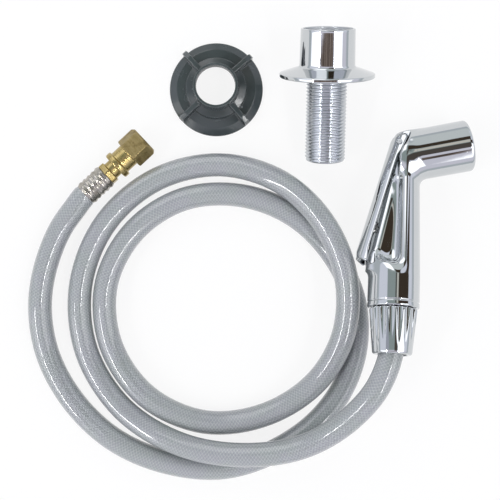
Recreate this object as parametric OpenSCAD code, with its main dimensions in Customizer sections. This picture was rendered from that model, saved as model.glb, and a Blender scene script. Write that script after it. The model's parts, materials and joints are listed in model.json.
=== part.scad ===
// Kitchen sink side spray kit, laid out on a flat surface: spray head with its hose,
// the far-end swivel nut, the hose guide and the mounting nut.
// Millimetres, +Z up, the surface is z = 0.

/* [Hose] */
// Outside diameter of the hose
hose_d = 12.7; // [11:0.1:13]
// Bore of the hose
hose_bore_d = 6.4; // [6.2:0.1:7.5]
// Diameter of the hose where a ferrule squeezes it
hose_squeezed_d = 11.8; // [10:0.1:11.8]
// Flat sides of the swept hose
hose_sides = 12; // [8:1:12]

/* [Spray head] */
// Handle's axis to nozzle's front face
barrel_len = 38.9; // [36:0.1:48]
// Diameter of the elbow's ball
elbow_d = 24.8; // [24.4:0.1:26.4]
// Length over which the elbow swells to the barrel
elbow_swell = 9; // [7:0.5:12]
// Diameter of the barrel past the elbow
barrel_root_d = 27; // [26.4:0.1:28]
// Diameter of the barrel at its front
barrel_front_d = 27.4; // [27:0.1:30]
// Nozzle's axis to the bottom of the handle
handle_len = 80.5; // [80:0.5:90]
// Diameter of the handle at the bottom
handle_d = 26.7; // [26:0.1:29]
// Diameter of the handle below the elbow
handle_top_d = 24; // [23.6:0.1:26]
// Length of the handle's taper below the elbow
taper_len = 64; // [60:0.5:70]
// Angle between handle and nozzle beyond square
elbow_extra = 13.5; // [8:0.5:18]
// Radius of the rib behind the handle
rib_r = 5; // [4.8:0.1:5.6]
// Width of the groove above the handle's end band
band_groove_w = 0.6; // [0.4:0.1:1]
// Depth of that groove
band_groove_depth = 0.5; // [0.3:0.1:0.8]
// Length of the handle's end band
band_len = 2.6; // [2:0.1:4]
// Rounding of the barrel's front edge
front_round = 1.2; // [0.8:0.1:2]
// Bore of the barrel
barrel_bore_d = 19.6; // [18:0.1:20]
// Diameter of the seat for the spray face
face_seat_d = 21.6; // [21:0.1:23]

/* [Lever] */
// Length of the lever's straight back
lever_len = 62.8; // [60:0.1:66]
// Lean of the lever from the handle's axis
lever_lean = 15; // [14:0.5:17]
// Outside radius of the lever's curved back
lever_r = 8; // [7.8:0.1:9]
// Wall of the lever
lever_wall = 1.6; // [1.2:0.1:1.8]
// Depth of the lever's sides
lever_depth = 6.2; // [5.8:0.1:6.6]
// How far the lever turns when squeezed
squeeze = 3; // [2:0.25:3]
// Diameter of the lever's pin
pin_d = 2.5; // [2:0.1:3]

/* [Valve] */
// Height of the valve below the nozzle's axis
valve_drop = 38; // [34:0.5:42]
// Outside diameter of the cartridge
cartridge_d = 7.2; // [6.8:0.1:7.4]
// Where the cartridge starts, behind the handle's axis
cartridge_back = 8; // [7.4:0.1:8.4]
// Where its seat is, in front of the handle's axis
seat_front = 2; // [1.5:0.1:3]
// Diameter of the valve's stem
stem_d = 3; // [2.6:0.1:3.2]
// Diameter of the button that the lever pushes
stem_head_d = 4; // [3.6:0.1:4.4]
// Diameter of the valve's seal
seal_d = 5.8; // [5.6:0.1:6.2]
// Thickness of the valve's seal
seal_t = 1.6; // [1.2:0.1:2]
// Diameter of the spring's wire
spring_wire_d = 0.5; // [0.4:0.05:0.6]
// Diameter of the spring, wire centre to wire centre
spring_d = 4.6; // [4.2:0.1:5]
// Turns of the spring
spring_turns = 4.5; // [3.5:0.5:5]

/* [Coupling] */
// Length of the coupling nut
coupling_len = 23.7; // [22:0.1:28]
// Diameter of the coupling nut at the handle
coupling_top_d = 24.7; // [24:0.1:26]
// Diameter of the coupling nut at the hose
coupling_end_d = 20.2; // [19.6:0.1:22]
// Flutes round the coupling nut
flutes = 18; // [12:1:20]
// Diameter of one flute
flute_d = 2.8; // [2:0.1:3]
// How far the flutes' axes lie outside the nut at the handle
flute_top_out = 0.5; // [0.3:0.1:1]
// How far the flutes' axes lie outside the nut at the hose
flute_end_out = 1.3; // [1:0.1:1.4]
// Wall of the coupling nut at the handle, down to its thread
coupling_wall = 2.15; // [2:0.05:2.6]
// Length of the threaded spigot below the handle
spigot_len = 9; // [8:0.5:10]
// Wall of the spigot, from its thread to the hose coupler
spigot_wall = 3.2; // [2.8:0.1:3.6]
// Depth of the coupler's groove for the clip
clip_groove_depth = 0.9; // [0.6:0.1:1.2]
// Thickness of the clip
clip_t = 1.1; // [0.9:0.1:1.3]
// How much smaller than the thread the clip is across
clip_room = 1; // [0.6:0.1:2]
// Thickness of the flat washers
washer_t = 1.4; // [1:0.1:1.8]
// Water way through the coupler and the tailpiece
water_way_d = 4; // [3:0.1:4.4]
// Diameter of the barbed tails
barb_d = 6; // [5.4:0.1:6.1]
// Length of the coupler's barb
coupler_barb_len = 4; // [3:0.5:6]

/* [Far-end fitting] */
// Length of the ribbed ferrule
ferrule_len = 15; // [12:0.5:18]
// Diameter of the ribbed ferrule at its ribs
ferrule_d = 13.2; // [12.8:0.1:14]
// Ribs pressed into the ferrule
ferrule_ribs = 5; // [3:1:6]
// Wall of both ferrules
ferrule_wall = 0.45; // [0.3:0.05:0.6]
// Length of the tailpiece's hexagonal base
base_len = 3.3; // [2.5:0.1:4]
// Size of that base across its flats
base_af = 11.6; // [11:0.1:12]
// Length of the bare neck
neck_len = 3.4; // [3:0.1:5]
// Diameter of the neck
neck_d = 9.84; // [9:0.02:9.9]
// Diameter of the nut's collar
collar_d = 15.6; // [15:0.1:17]
// Length of the nut's collar
collar_len = 3.4; // [3:0.1:4]
// Diameter of the nut's skirt
skirt_d = 13; // [12.6:0.1:14]
// Length of the nut's skirt
skirt_len = 6.5; // [5:0.1:7]
// Length of the nut's hexagon
hex_len = 11.6; // [11.4:0.1:13]
// Size of the hexagon across its flats
hex_af = 15.7; // [15.4:0.05:15.9]
// Bore of the nut's thread
nut_thread_d = 12.4; // [12:0.1:12.8]
// Diameter of the relief behind the thread
nut_relief_d = 13.2; // [12.9:0.1:13.6]

/* [Hose guide] */
// Outside diameter of the cup at its mouth
cup_d = 28.2; // [28:0.1:30]
// Outside diameter of the cup at the flange
cup_root_d = 29; // [28.6:0.1:31]
// Height of the cup above the flange's rim
cup_h = 23.8; // [20:0.1:30]
// Wall of the cup
cup_wall = 1.3; // [1:0.1:1.8]
// Diameter of the flange
flange_d = 50; // [46:0.5:56]
// Height of the flange's cone above its rim
cone_h = 4.6; // [3:0.1:6]
// Thickness of the flange's rim
rim_t = 2.4; // [2:0.1:3]
// Length of the shank below the flange
shank_len = 44; // [40:0.5:50]
// Thread diameter of the shank
shank_d = 21.2; // [20.8:0.1:22]
// Depth of the shank's thread
thread_depth = 0.6; // [0.4:0.1:0.7]
// Pitch of the shank's thread, 14 to the inch
thread_pitch = 1.814; // [1.4:0.001:2.2]
// Bore of the shank
guide_bore_d = 18.6; // [18.2:0.1:18.8]
// Smooth neck between flange and thread
plain_neck = 1.8; // [1:0.1:3]

/* [Mounting nut] */
// Diameter of the mounting nut
nut_d = 50.8; // [48:0.2:56]
// Diameter of the flat inside the bevelled rim
nut_flat_d = 42.8; // [40:0.2:44]
// Height of the rim's edge
nut_edge_h = 1.4; // [1:0.1:2]
// Height of the flat
nut_flat_h = 4.2; // [3.5:0.1:5]
// Diameter of the step
nut_step_d = 32.4; // [30:0.2:35]
// Height of the step
nut_step_h = 7.6; // [6.5:0.1:9]
// Diameter of the hub
hub_d = 24; // [23:0.1:26]
// Height of the hub
hub_h = 15.6; // [14:0.1:18]
// Length of the threaded hole
nut_thread_len = 5; // [4:0.1:6]
// Bore of the nut's thread
nut_bore_d = 20.8; // [20.4:0.1:21]
// Shell thickness of the nut's underside
nut_wall = 2; // [1.6:0.1:2.4]
// Thickness of a wing
wing_t = 3; // [2.4:0.1:4]
// Reach of a wing from the nut's axis
wing_reach = 25.8; // [24:0.1:28]
// Height of a wing at the hub
wing_h = 11.6; // [10:0.1:13]
// Size of the wing's rounded outer corner
wing_corner = 4.2; // [3:0.1:5]

/* [Places] */
// Where the hose leaves the coupling nut
hose_exit = [34.4, -85, 35];
// Turn of the handle's axis from +Y, seen from above
handle_turn = 3; // [0:0.5:6]
// Where the ferrule lets the hose out, seen from above
tail_at = [-126.5, -1.5];
// Turn of the far-end fitting from +X
tail_turn = 43; // [35:1:50]
// Centre of the hose guide's flange, seen from above
guide_at = [2.2, 58.7];
// Turn of the guide's axis from +Y
guide_turn = 0; // [-5:0.25:5]
// Centre of the mounting nut
nut_at = [-56.4, 56.1];
// Turn of the nut's first wing from +X
nut_turn = 42; // [0:1:90]

/* [Fits] */
// Radial clearance of parts that turn or slide in each other
run_gap = 0.05; // [0.02:0.01:0.1]
// Clearance between neighbouring parts
gap = 0.3; // [0.2:0.05:0.4]
// Clearance between pieces that are clamped face to face
face_gap = 0.05; // [0:0.01:0.1]

/* [Hidden] */
$fn = 64;
over = 1;

// ---- hose route: hand-chosen points from the far-end fitting to the spray head ----
route = [
    [-133, -9.5, 7.2], [-139.5, -18.5, 6.5], [-146.5, -34, 6.4], [-151.5, -58.5, 6.4],
    [-148, -86, 6.4], [-134.5, -112, 6.4], [-113, -133, 6.4], [-82, -146.5, 6.4],
    [-52, -149, 6.4], [-21.5, -138.5, 6.4], [-3, -125.5, 6.4], [11, -108, 6.4],
    [19, -86, 6.4], [18.5, -59, 6.4], [7, -34, 6.4], [-14, -13, 6.4],
    [-43, -2, 6.4], [-74, -4, 6.4], [-100, -20.5, 6.4], [-115.5, -49, 6.4],
    [-113.5, -82, 6.4], [-94, -110.5, 6.4], [-62.5, -124.5, 6.4], [-28.5, -120, 6.6],
    [-1.5, -101, 11.2], [11.5, -76, 17.4], [13, -48.5, 19.7], [2.4, -19.6, 19.3],
    [-21, 4.5, 13], [-54, 14.5, 7.2], [-88, 7, 6.4], [-115.5, -16, 6.4],
    [-129.5, -50, 6.4], [-126.5, -86, 6.4], [-107, -117, 7], [-74, -135.5, 13.5],
    [-42, -139.5, 19.4], [-11, -134.5, 23], [14, -118, 30.8], [28.2, -99.5, 35.4]
];
ring_steps = 2;
least_gap_apart = 40;

// ---- spray head: its frame ----
// Local Z runs up the handle to the elbow, local X points to the nozzle's side.
nozzle_turn = elbow_extra - handle_turn;
exit_drop = handle_len + gap + coupling_len;
pitch = asin((hose_exit[2] - barrel_front_d / 2) / (exit_drop * cos(elbow_extra)));
nozzle_dir = [cos(nozzle_turn), sin(nozzle_turn), 0];
across_dir = [-sin(nozzle_turn), cos(nozzle_turn), 0];
up_dir = [0, 0, 1];
function pitched(v) = (v * nozzle_dir) * nozzle_dir
    + (v * across_dir) * (cos(pitch) * across_dir - sin(pitch) * up_dir)
    + (v * up_dir) * (cos(pitch) * up_dir + sin(pitch) * across_dir);
head_x = pitched([cos(handle_turn), -sin(handle_turn), 0]);
head_z = pitched([sin(handle_turn), cos(handle_turn), 0]);
head_y = cross(head_z, head_x);
elbow_at = hose_exit + exit_drop * head_z;
function head_point(p) = elbow_at + p[0] * head_x + p[1] * head_y + p[2] * head_z;

// ---- lever: its frame, origin at the tip of the back, z up the back, x into the body ----
lever_tip = [-20.3, -52.2];
pin_in = 4.6;
pin_up = lever_len - 0.2;
lever_axis_in = lever_r;
function from_lever(p) = lever_tip
    + [p[0] * cos(lever_lean) + p[1] * sin(lever_lean),
       -p[0] * sin(lever_lean) + p[1] * cos(lever_lean)];
pin_at = from_lever([pin_in, pin_up]);
rib_in = 7.2;
rib_lean = lever_lean - squeeze;
function down_rib(d) = pin_at
    + [(rib_in - pin_in) * cos(rib_lean) - d * sin(rib_lean),
       -(rib_in - pin_in) * sin(rib_lean) - d * cos(rib_lean)];
ear_in = 8;
ear_top = lever_len + 5;
ear_from = lever_len - 4;

// ---- sizes that follow from others ----
handle_r = handle_d / 2;
front_from = 1.5;
shoulder_z = -59.5;
shoulder_in = 10.5;
shoulder_rise = 12;
rib_back = 13.1;
rib_top_in = 3.6;
rib_top = 11;
rib_front = 8;
rib_over = 10;
web_in = 0.8;
web_top = 6;
neck_low = 14;
socket_chamber_in = 1.9;
socket_chamber_h = 9;
barrel_bore_from = 7;
spring_room = 7.8;
face_depth = 8;
tip_in = 7.1;
tip_out = 5.9;
tip_drop = 4.1;
tip_side_drop = 3.2;
web_half = rib_r - web_in;
pin_r = pin_d / 2;
thread_gap = 0.1;
spigot_d = coupling_top_d - 2 * (coupling_wall + thread_gap);
coupler_d = spigot_d - 2 * spigot_wall;
clip_d = spigot_d - clip_room;
clip_groove_d = coupler_d - 2 * clip_groove_depth;
flute_lean = atan(((coupling_top_d - coupling_end_d) / 2 + flute_top_out - flute_end_out) / coupling_len);
lever_inner_r = lever_r - lever_wall;
ear_half = lever_r;
ear_inner_half = lever_inner_r;
neck_half = ear_inner_half - gap;
spigot_end = handle_len + spigot_len;
washer_z = spigot_end + face_gap;
clip_z = washer_z + washer_t + face_gap;
nut_shoulder = clip_z + clip_t + face_gap;
coupler_end = nut_shoulder + 1.1;
hose_end = coupler_end + face_gap;
head_ferrule_len = 4;
hose_straight = hose_end + head_ferrule_len;
coupling_end = exit_drop;
socket_r = coupler_d / 2 + run_gap;
socket_top = handle_len - 2;
nose_top = socket_top + 0.5;
lip_gap = 1.25;
swivel_groove_at = 4;
swivel_groove_w = 1.8;
swivel_groove_depth = 1.5;
chamber_r = cartridge_d / 2 + run_gap;
chamber_front = seat_front + spring_room;
face_z = barrel_len - face_depth;
face_t = 3;
seal_ring_t = 1;
ring_t = 3.2;

// ---- far-end fitting: lengths along its axis, from where the ferrule lets the hose out ----
hex_r = hex_af / sqrt(3);
tail_z = max(hex_af, collar_d) / 2;
tail_dir = [cos(tail_turn), sin(tail_turn), 0];
base_from = ferrule_len + face_gap;
neck_from = base_from + base_len;
nut_from = neck_from + neck_len;
skirt_from = nut_from + collar_len;
hex_from = skirt_from + skirt_len;
nut_end = hex_from + hex_len;
tail_head_t = 1.9;
tail_head_from = hex_from + 0.3;
relief_end = tail_head_from + tail_head_t + washer_t + 0.4;

// ---- hose guide: it lies on its flange's rim and the end of its shank ----
rim_mid = rim_t / 2;
rim_round = rim_t / 3;
end_chamfer = 0.4;
first_crest = -shank_len + end_chamfer + 0.3 * thread_pitch;
guide_tilt = atan((flange_d - shank_d) / 2 / (rim_round - first_crest));
guide_z = flange_d / 2 * cos(guide_tilt) - rim_round * sin(guide_tilt);

// ---- small helpers ----
module ring(outer_r, inner_r, h) {
    difference() {
        cylinder(r = outer_r, h = h);
        translate([0, 0, -over]) cylinder(r = inner_r, h = h + 2 * over);
    }
}

module o_ring(mid_r, wire_r) {
    rotate_extrude() translate([mid_r, 0]) circle(r = wire_r, $fn = 24);
}

// A side outline in the XZ plane, given thickness to both sides of it.
module slab(points, half) {
    translate([0, half, 0]) rotate([90, 0, 0]) linear_extrude(height = 2 * half) polygon(points);
}

module in_head() {
    translate(elbow_at) rotate(a = -pitch, v = nozzle_dir) rotate([0, 0, -handle_turn])
        rotate([-90, 0, 0]) children();
}

// Local Z along the nozzle's axis, towards its front.
module in_barrel() {
    rotate([0, 90 - elbow_extra, 0]) children();
}

// Local Z along the valve's axis, towards the nozzle's side.
module in_valve() {
    translate([0, 0, -valve_drop]) rotate([0, 90, 0]) children();
}

// Downwards along the handle's axis.
module down_handle(distance) {
    translate([0, 0, -distance]) rotate([180, 0, 0]) children();
}

module in_lever() {
    translate([lever_tip[0], 0, lever_tip[1]]) rotate([0, lever_lean, 0]) children();
}

module in_tail() {
    translate([tail_at[0], tail_at[1], tail_z]) rotate([0, 0, tail_turn]) rotate([0, 90, 0])
        rotate([0, 0, 90]) children();
}

module in_guide() {
    translate([guide_at[0], guide_at[1], guide_z]) rotate([0, 0, guide_turn])
        rotate([guide_tilt - 90, 0, 0]) children();
}

// ---- swept tube: rings square to a path, joined by triangles ----
function unit(v) = v / norm(v);
function chord_slopes(p, first, last) = [for (i = [0 : len(p) - 1])
    i < 2 ? first : i > len(p) - 3 ? last :
    let (a = p[i] - p[i - 1], b = p[i + 1] - p[i], la = norm(a), lb = norm(b))
        (a / la * lb + b / lb * la) / (la + lb)];
function between(p, m, i, t) = let (h = norm(p[i + 1] - p[i]), t2 = t * t, t3 = t2 * t)
    (2 * t3 - 3 * t2 + 1) * p[i] + (t3 - 2 * t2 + t) * h * m[i]
    + (3 * t2 - 2 * t3) * p[i + 1] + (t3 - t2) * h * m[i + 1];
function laid(p, floor_z) = [p[0], p[1], max(p[2], floor_z)];
function smooth_path(p, first, last, steps, floor_z) =
    let (m = chord_slopes(p, first, last))
    concat([for (i = [0 : len(p) - 2], j = [0 : (i == 0 || i == len(p) - 2 ? 1 : steps) - 1])
        laid(between(p, m, i, j / steps), floor_z)], [p[len(p) - 1]]);
function path_dirs(c, first, last) = [for (i = [0 : len(c) - 1])
    i == 0 ? first : i == len(c) - 1 ? last : unit(c[i + 1] - c[i - 1])];
function side_dir(d) = unit(cross([0, 0, 1], d));
function ring_points(c, d, r, sides) = let (s = side_dir(d), u = cross(d, s))
    [for (k = [0 : sides - 1]) c + r * (cos(360 * k / sides) * s + sin(360 * k / sides) * u)];
function skin(rings, sides, from, flip) = [for (i = [0 : rings - 2], k = [0 : sides - 1], half = [0, 1])
    let (a = from + i * sides + k, b = from + i * sides + (k + 1) % sides, c = a + sides, d = b + sides)
    half == 0 ? (flip ? [a, b, d] : [a, d, b]) : (flip ? [a, d, c] : [a, c, d])];
function end_ring(sides, outer, inner, flip) = [for (k = [0 : sides - 1], half = [0, 1])
    let (a = outer + k, b = outer + (k + 1) % sides, c = inner + k, d = inner + (k + 1) % sides)
    half == 0 ? (flip ? [a, d, b] : [a, b, d]) : (flip ? [a, c, d] : [a, d, c])];

module tube(c, dirs, outer, inner, sides) {
    rings = len(c);
    points = concat([for (i = [0 : rings - 1]) each ring_points(c[i], dirs[i], outer[i], sides)],
                    [for (i = [0 : rings - 1]) each ring_points(c[i], dirs[i], inner[i], sides)]);
    bore = rings * sides;
    faces = concat(skin(rings, sides, 0, false), skin(rings, sides, bore, true),
                   end_ring(sides, 0, bore, false),
                   end_ring(sides, (rings - 1) * sides, bore + (rings - 1) * sides, true));
    polyhedron(points = points, faces = faces, convexity = 10);
}

// ---- hose path ----
tail_out = [tail_at[0], tail_at[1], tail_z];
tail_in = tail_out + ferrule_len * tail_dir;
head_in = head_point([0, 0, -hose_end]);
head_out = head_point([0, 0, -hose_straight]);
hose_points = concat([tail_in, tail_out], route, [head_out, head_in]);
hose_path = smooth_path(hose_points, -tail_dir, head_z, ring_steps, hose_d / 2);
hose_dirs = path_dirs(hose_path, -tail_dir, head_z);
last_ring = len(hose_path) - 1;
hose_radii = [for (i = [0 : last_ring])
    (i < 2 || i > last_ring - 2 ? hose_squeezed_d : hose_d) / 2];
hose_len = sum_to([for (i = [1 : last_ring]) norm(hose_path[i] - hose_path[i - 1])], 0);
function sum_to(v, i) = i >= len(v) ? 0 : v[i] + sum_to(v, i + 1);
function length_between(i, j) = sum_to([for (k = [i + 1 : 1 : j]) norm(hose_path[k] - hose_path[k - 1])], 0);
fine_path = smooth_path(hose_points, -tail_dir, head_z, 6, hose_d / 2);
skip = ceil(least_gap_apart / (hose_len / len(fine_path)));
hose_least_gap = min([for (i = [0 : len(fine_path) - 1 - skip])
    min([for (j = [i + skip : len(fine_path) - 1]) norm(fine_path[j] - fine_path[i])])]) - hose_d;
echo(hose_length = hose_len, hose_least_gap = hose_least_gap, rings = len(hose_path));
echo(pitch = pitch, elbow = elbow_at, head_x = head_x, head_y = head_y, head_z = head_z);
echo(pin = head_point([pin_at[0], 0, pin_at[1]]), valve = head_point([0, 0, -valve_drop]));
echo(guide_tilt = guide_tilt, guide_z = guide_z, tail_end = tail_out + nut_end * tail_dir);

// ---- spray head ----
// The handle's solid body: round below the shoulder, only its front half above it.
module handle_body() {
    difference() {
        translate([0, 0, -handle_len]) {
            cylinder(r = handle_r, h = handle_len - taper_len);
            translate([0, 0, handle_len - taper_len])
                cylinder(r1 = handle_r, r2 = handle_top_d / 2, h = taper_len);
        }
        slab([[-handle_d, shoulder_z - 0.2], [-shoulder_in, shoulder_z + 0.6],
              [front_from, shoulder_z + shoulder_rise], [front_from, over], [-handle_d, over]], handle_d);
    }
}

// The elbow's ball and the barrel, in front of the recesses for the lever's ears.
module barrel_body() {
    difference() {
        union() {
            sphere(r = elbow_d / 2);
            in_barrel() rotate_extrude() polygon([[0, 0], [elbow_d / 2, 0], [barrel_root_d / 2, elbow_swell],
                [barrel_front_d / 2, barrel_len - front_round],
                for (a = [15 : 15 : 75]) [barrel_front_d / 2 - front_round * (1 - cos(a)),
                                          barrel_len - front_round * (1 - sin(a))],
                [barrel_front_d / 2 - front_round, barrel_len], [0, barrel_len]]);
        }
        lever_room();
        slab([[-handle_d, -handle_d], [-handle_d, handle_d], from_lever([2.6, ear_top + 4]),
              from_lever([2.6, ear_top - 2]), from_lever([2, pin_up]), [-3, -2], [front_from, -neck_low],
              [front_from, -handle_d]], handle_d);
    }
}

function ear_recess() = [[-handle_d, -handle_d], [-handle_d, handle_d],
    from_lever([ear_in + 1.6, ear_top + 6]), from_lever([ear_in - 0.4, ear_from - 4]),
    [front_from, -neck_low], [front_from, -handle_d]];

// What the lever's ears and curved back take out of the elbow, round the neck between them.
module lever_room() {
    difference() {
        slab(ear_recess(), handle_d);
        in_lever() translate([lever_axis_in + 2 * gap, 0, -lever_len]) {
            cylinder(r = neck_half, h = 3 * lever_len);
            translate([0, -neck_half, 0]) cube([handle_d, 2 * neck_half, 3 * lever_len]);
        }
    }
}

// The round rib that leans back from the elbow to the shoulder, and the web that joins it.
module rib_body() {
    intersection() {
        union() {
            translate([pin_at[0], 0, pin_at[1]]) rotate([0, rib_lean, 0])
                translate([rib_in - pin_in, 0, -lever_len - rib_over])
                    cylinder(r = rib_r, h = lever_len + 2 * rib_over);
            slab([down_rib(web_top), down_rib(lever_len + web_top), [front_from + over, shoulder_z - 2 * over],
                  [front_from + over, 0]], web_half);
        }
        slab([[-rib_back, shoulder_z - over], [-rib_back, lever_tip[1]], [-rib_top_in, rib_top],
              [-rib_top_in + 3 * over, rib_top + over], [front_from, rib_top + 2 * over], [rib_front, rib_top],
              [rib_front, shoulder_z - over]], handle_d);
    }
}

module head_shell() {
    color("silver") in_head() difference() {
        union() {
            handle_body();
            barrel_body();
            rib_body();
            translate([0, 0, -spigot_end]) cylinder(d = spigot_d, h = spigot_len + over);
        }
        head_hollows();
        translate([0, 0, -handle_len + band_len])
            ring(handle_d, handle_r - band_groove_depth, band_groove_w);
    }
}

module head_hollows() {
    passage_x = seat_front + 2.5;
    outlet_x = -1.5;
    // socket for the hose coupler and the chamber above it
    translate([0, 0, -spigot_end - over]) cylinder(r = socket_r, h = spigot_end - socket_top + over);
    translate([0, 0, -socket_top - over]) cylinder(r = coupler_d / 2 - socket_chamber_in, h = socket_chamber_h);
    // up to the valve, and on to the nozzle
    translate([passage_x, 0, -socket_top + 6]) cylinder(r = 2.4, h = socket_top - valve_drop - 4);
    translate([outlet_x, 0, -valve_drop]) cylinder(r = 2, h = valve_drop + 1);
    in_valve() translate([0, 0, -3 * handle_r]) cylinder(r = chamber_r, h = 3 * handle_r + chamber_front);
    in_barrel() {
        translate([0, 0, -2]) cylinder(r = 2.6, h = barrel_len);
        translate([0, 0, barrel_bore_from]) cylinder(d = barrel_bore_d, h = barrel_len);
        translate([0, 0, face_z]) cylinder(d = face_seat_d, h = barrel_len);
    }
    // lever's pin
    translate([pin_at[0], handle_d, pin_at[1]]) rotate([90, 0, 0])
        cylinder(r = pin_r + run_gap, h = 2 * handle_d, $fn = 32);
}

module lever() {
    color("silver") in_head() in_lever() difference() {
        intersection() {
            slab([[0, 1], [0, lever_len], [0.6, lever_len + 2.2], [2.4, ear_top - 1.6], [ear_in - 1.4, ear_top],
                  [ear_in, ear_top - 1.4], [ear_in - 0.9, ear_from], [lever_depth, ear_from - 3],
                  [lever_depth - 0.3, 3], [tip_in, -tip_side_drop], [tip_out, -tip_drop], [1.2, -2.6]], ear_half);
            translate([lever_axis_in, 0, -rib_over]) {
                cylinder(r = lever_r, h = lever_len + 2 * rib_over);
                translate([0, -ear_half, 0]) cube([lever_r, 2 * ear_half, lever_len + 2 * rib_over]);
            }
        }
        translate([lever_axis_in, 0, -rib_over]) {
            cylinder(r = lever_inner_r, h = lever_len + 2 * rib_over);
            translate([0, -ear_inner_half, 0]) cube([lever_r, 2 * ear_inner_half, lever_len + 2 * rib_over]);
        }
        translate([pin_in, ear_half + over, pin_up]) rotate([90, 0, 0])
            cylinder(r = pin_r + run_gap, h = 2 * (ear_half + over), $fn = 32);
    }
}

module lever_pin() {
    color("gray") in_head() translate([pin_at[0], ear_half, pin_at[1]]) rotate([90, 0, 0])
        cylinder(r = pin_r, h = 2 * ear_half, $fn = 32);
}

// ---- valve, along the head's local X at its height ----
stem_head_r = stem_head_d / 2;
stem_ball = lever_back_at_valve() + (stem_head_r + 0.1) / cos(lever_lean);
function lever_back_at_valve() = lever_tip[0]
    + (-valve_drop - lever_tip[1]) * tan(lever_lean) + lever_wall / cos(lever_lean);
o_wire_r = 0.45;
groove_half = 0.55;
stem_groove_at = -cartridge_back + 1.4;
body_groove_at = -cartridge_back + 4.2;
flow_from = -3.2;
spring_from = seat_front + seal_t + 0.6;
spring_to = chamber_front - 0.05;

module valve_cartridge() {
    color("white") in_head() in_valve() difference() {
        translate([0, 0, -cartridge_back]) cylinder(d = cartridge_d, h = cartridge_back + seat_front);
        translate([0, 0, -cartridge_back - over]) cylinder(d = stem_d + 2 * run_gap, h = cartridge_back);
        translate([0, 0, flow_from]) cylinder(r = 2.2, h = seat_front - flow_from + over);
        translate([0, 0, stem_groove_at - groove_half]) cylinder(r = stem_d / 2 + 0.8, h = 2 * groove_half);
        translate([0, 0, body_groove_at - groove_half])
            ring(cartridge_d, cartridge_d / 2 - 0.8, 2 * groove_half);
        translate([0, 0, -1.5]) rotate([0, -90, 0]) cylinder(r = 1.5, h = cartridge_d);
    }
}

module cartridge_o_ring() {
    color("black") in_head() in_valve() translate([0, 0, body_groove_at])
        o_ring(chamber_r - 0.02 - o_wire_r + 0.05, o_wire_r - 0.05);
}

module stem_o_ring() {
    color("black") in_head() in_valve() translate([0, 0, stem_groove_at])
        o_ring(stem_d / 2 + 0.03 + o_wire_r - 0.1, o_wire_r - 0.1);
}

module valve_stem() {
    color("white") in_head() in_valve() {
        translate([0, 0, stem_ball]) sphere(r = stem_head_r, $fn = 48);
        translate([0, 0, stem_ball]) cylinder(d = stem_d, h = seat_front + face_gap - stem_ball);
        translate([0, 0, seat_front + face_gap]) cylinder(d = 2, h = seal_t + 0.4);
        translate([0, 0, seat_front + face_gap + seal_t + 0.1]) cylinder(d = 3.6, h = 0.4);
    }
}

module valve_seal() {
    color("black") in_head() in_valve() translate([0, 0, seat_front + face_gap])
        ring(seal_d / 2, 1.05, seal_t);
}

module valve_spring() {
    turn_rings = 8;
    count = floor(spring_turns * turn_rings);
    rise = spring_to - spring_from - spring_wire_d;
    coil = [for (i = [0 : count]) let (a = 360 * i / turn_rings)
        [spring_d / 2 * cos(a), spring_d / 2 * sin(a), spring_from + spring_wire_d / 2 + rise * i / count]];
    dirs = [for (i = [0 : count]) let (a = 360 * i / turn_rings)
        unit([-sin(a), cos(a), rise / (count * PI * spring_d / turn_rings)])];
    radii = [for (p = coil) spring_wire_d / 2];
    color("gray") in_head() in_valve() solid_tube(coil, dirs, radii, 6);
}

// A tube without a bore, closed by a fan at each end.
module solid_tube(c, dirs, outer, sides) {
    rings = len(c);
    last = (rings - 1) * sides;
    points = [for (i = [0 : rings - 1]) each ring_points(c[i], dirs[i], outer[i], sides)];
    faces = concat(skin(rings, sides, 0, false),
                   [for (k = [1 : sides - 2]) [0, k, k + 1]],
                   [for (k = [1 : sides - 2]) [last, last + k + 1, last + k]]);
    polyhedron(points = points, faces = faces, convexity = 10);
}

// ---- nozzle ----
module face_seal() {
    color("black") in_head() in_barrel() translate([0, 0, face_z])
        ring(face_seat_d / 2 - 0.1, barrel_bore_d / 2 - 0.8, seal_ring_t);
}

module spray_face() {
    from = face_z + seal_ring_t;
    color("dimgray") in_head() in_barrel() difference() {
        translate([0, 0, from]) cylinder(d = face_seat_d - 2 * run_gap, h = face_t);
        for (n = [0 : 2], k = [0 : 6 * (n + 1) - 1]) rotate([0, 0, k * 60 / (n + 1)])
            translate([2.4 * (n + 1), 0, from - over]) cylinder(r = 0.45, h = face_t + 2 * over, $fn = 16);
        translate([0, 0, from - over]) cylinder(r = 0.45, h = face_t + 2 * over, $fn = 16);
    }
}

module nozzle_ring() {
    color("silver") in_head() in_barrel() translate([0, 0, face_z + seal_ring_t + face_t])
        ring(face_seat_d / 2 - run_gap, face_seat_d / 2 - 2.2, ring_t);
}

// ---- coupling between head and hose, downwards along the handle's axis ----
module coupling_nut() {
    top = handle_len + gap;
    mouth_r = hose_d / 2 + lip_gap;
    color("silver") in_head() difference() {
        down_handle(top) cylinder(d1 = coupling_top_d, d2 = coupling_end_d, h = coupling_len);
        down_handle(top - over) cylinder(d = spigot_d + 2 * thread_gap, h = nut_shoulder - top + over);
        down_handle(top) cylinder(r = mouth_r, h = coupling_len + over);
        for (k = [0 : flutes - 1]) rotate([0, 0, k * 360 / flutes]) down_handle(top - over)
            translate([coupling_top_d / 2 + flute_top_out, 0, 0]) rotate([0, -flute_lean, 0])
                cylinder(d = flute_d, h = coupling_len, $fn = 24);
        down_handle(top + coupling_len - 1) ring(coupling_top_d, coupling_end_d / 2 + 0.15, over + 1);
    }
}

module coupler_washer() {
    color("black") in_head() down_handle(washer_z)
        ring(spigot_d / 2 - 0.4, coupler_d / 2 + 0.1, washer_t);
}

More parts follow.
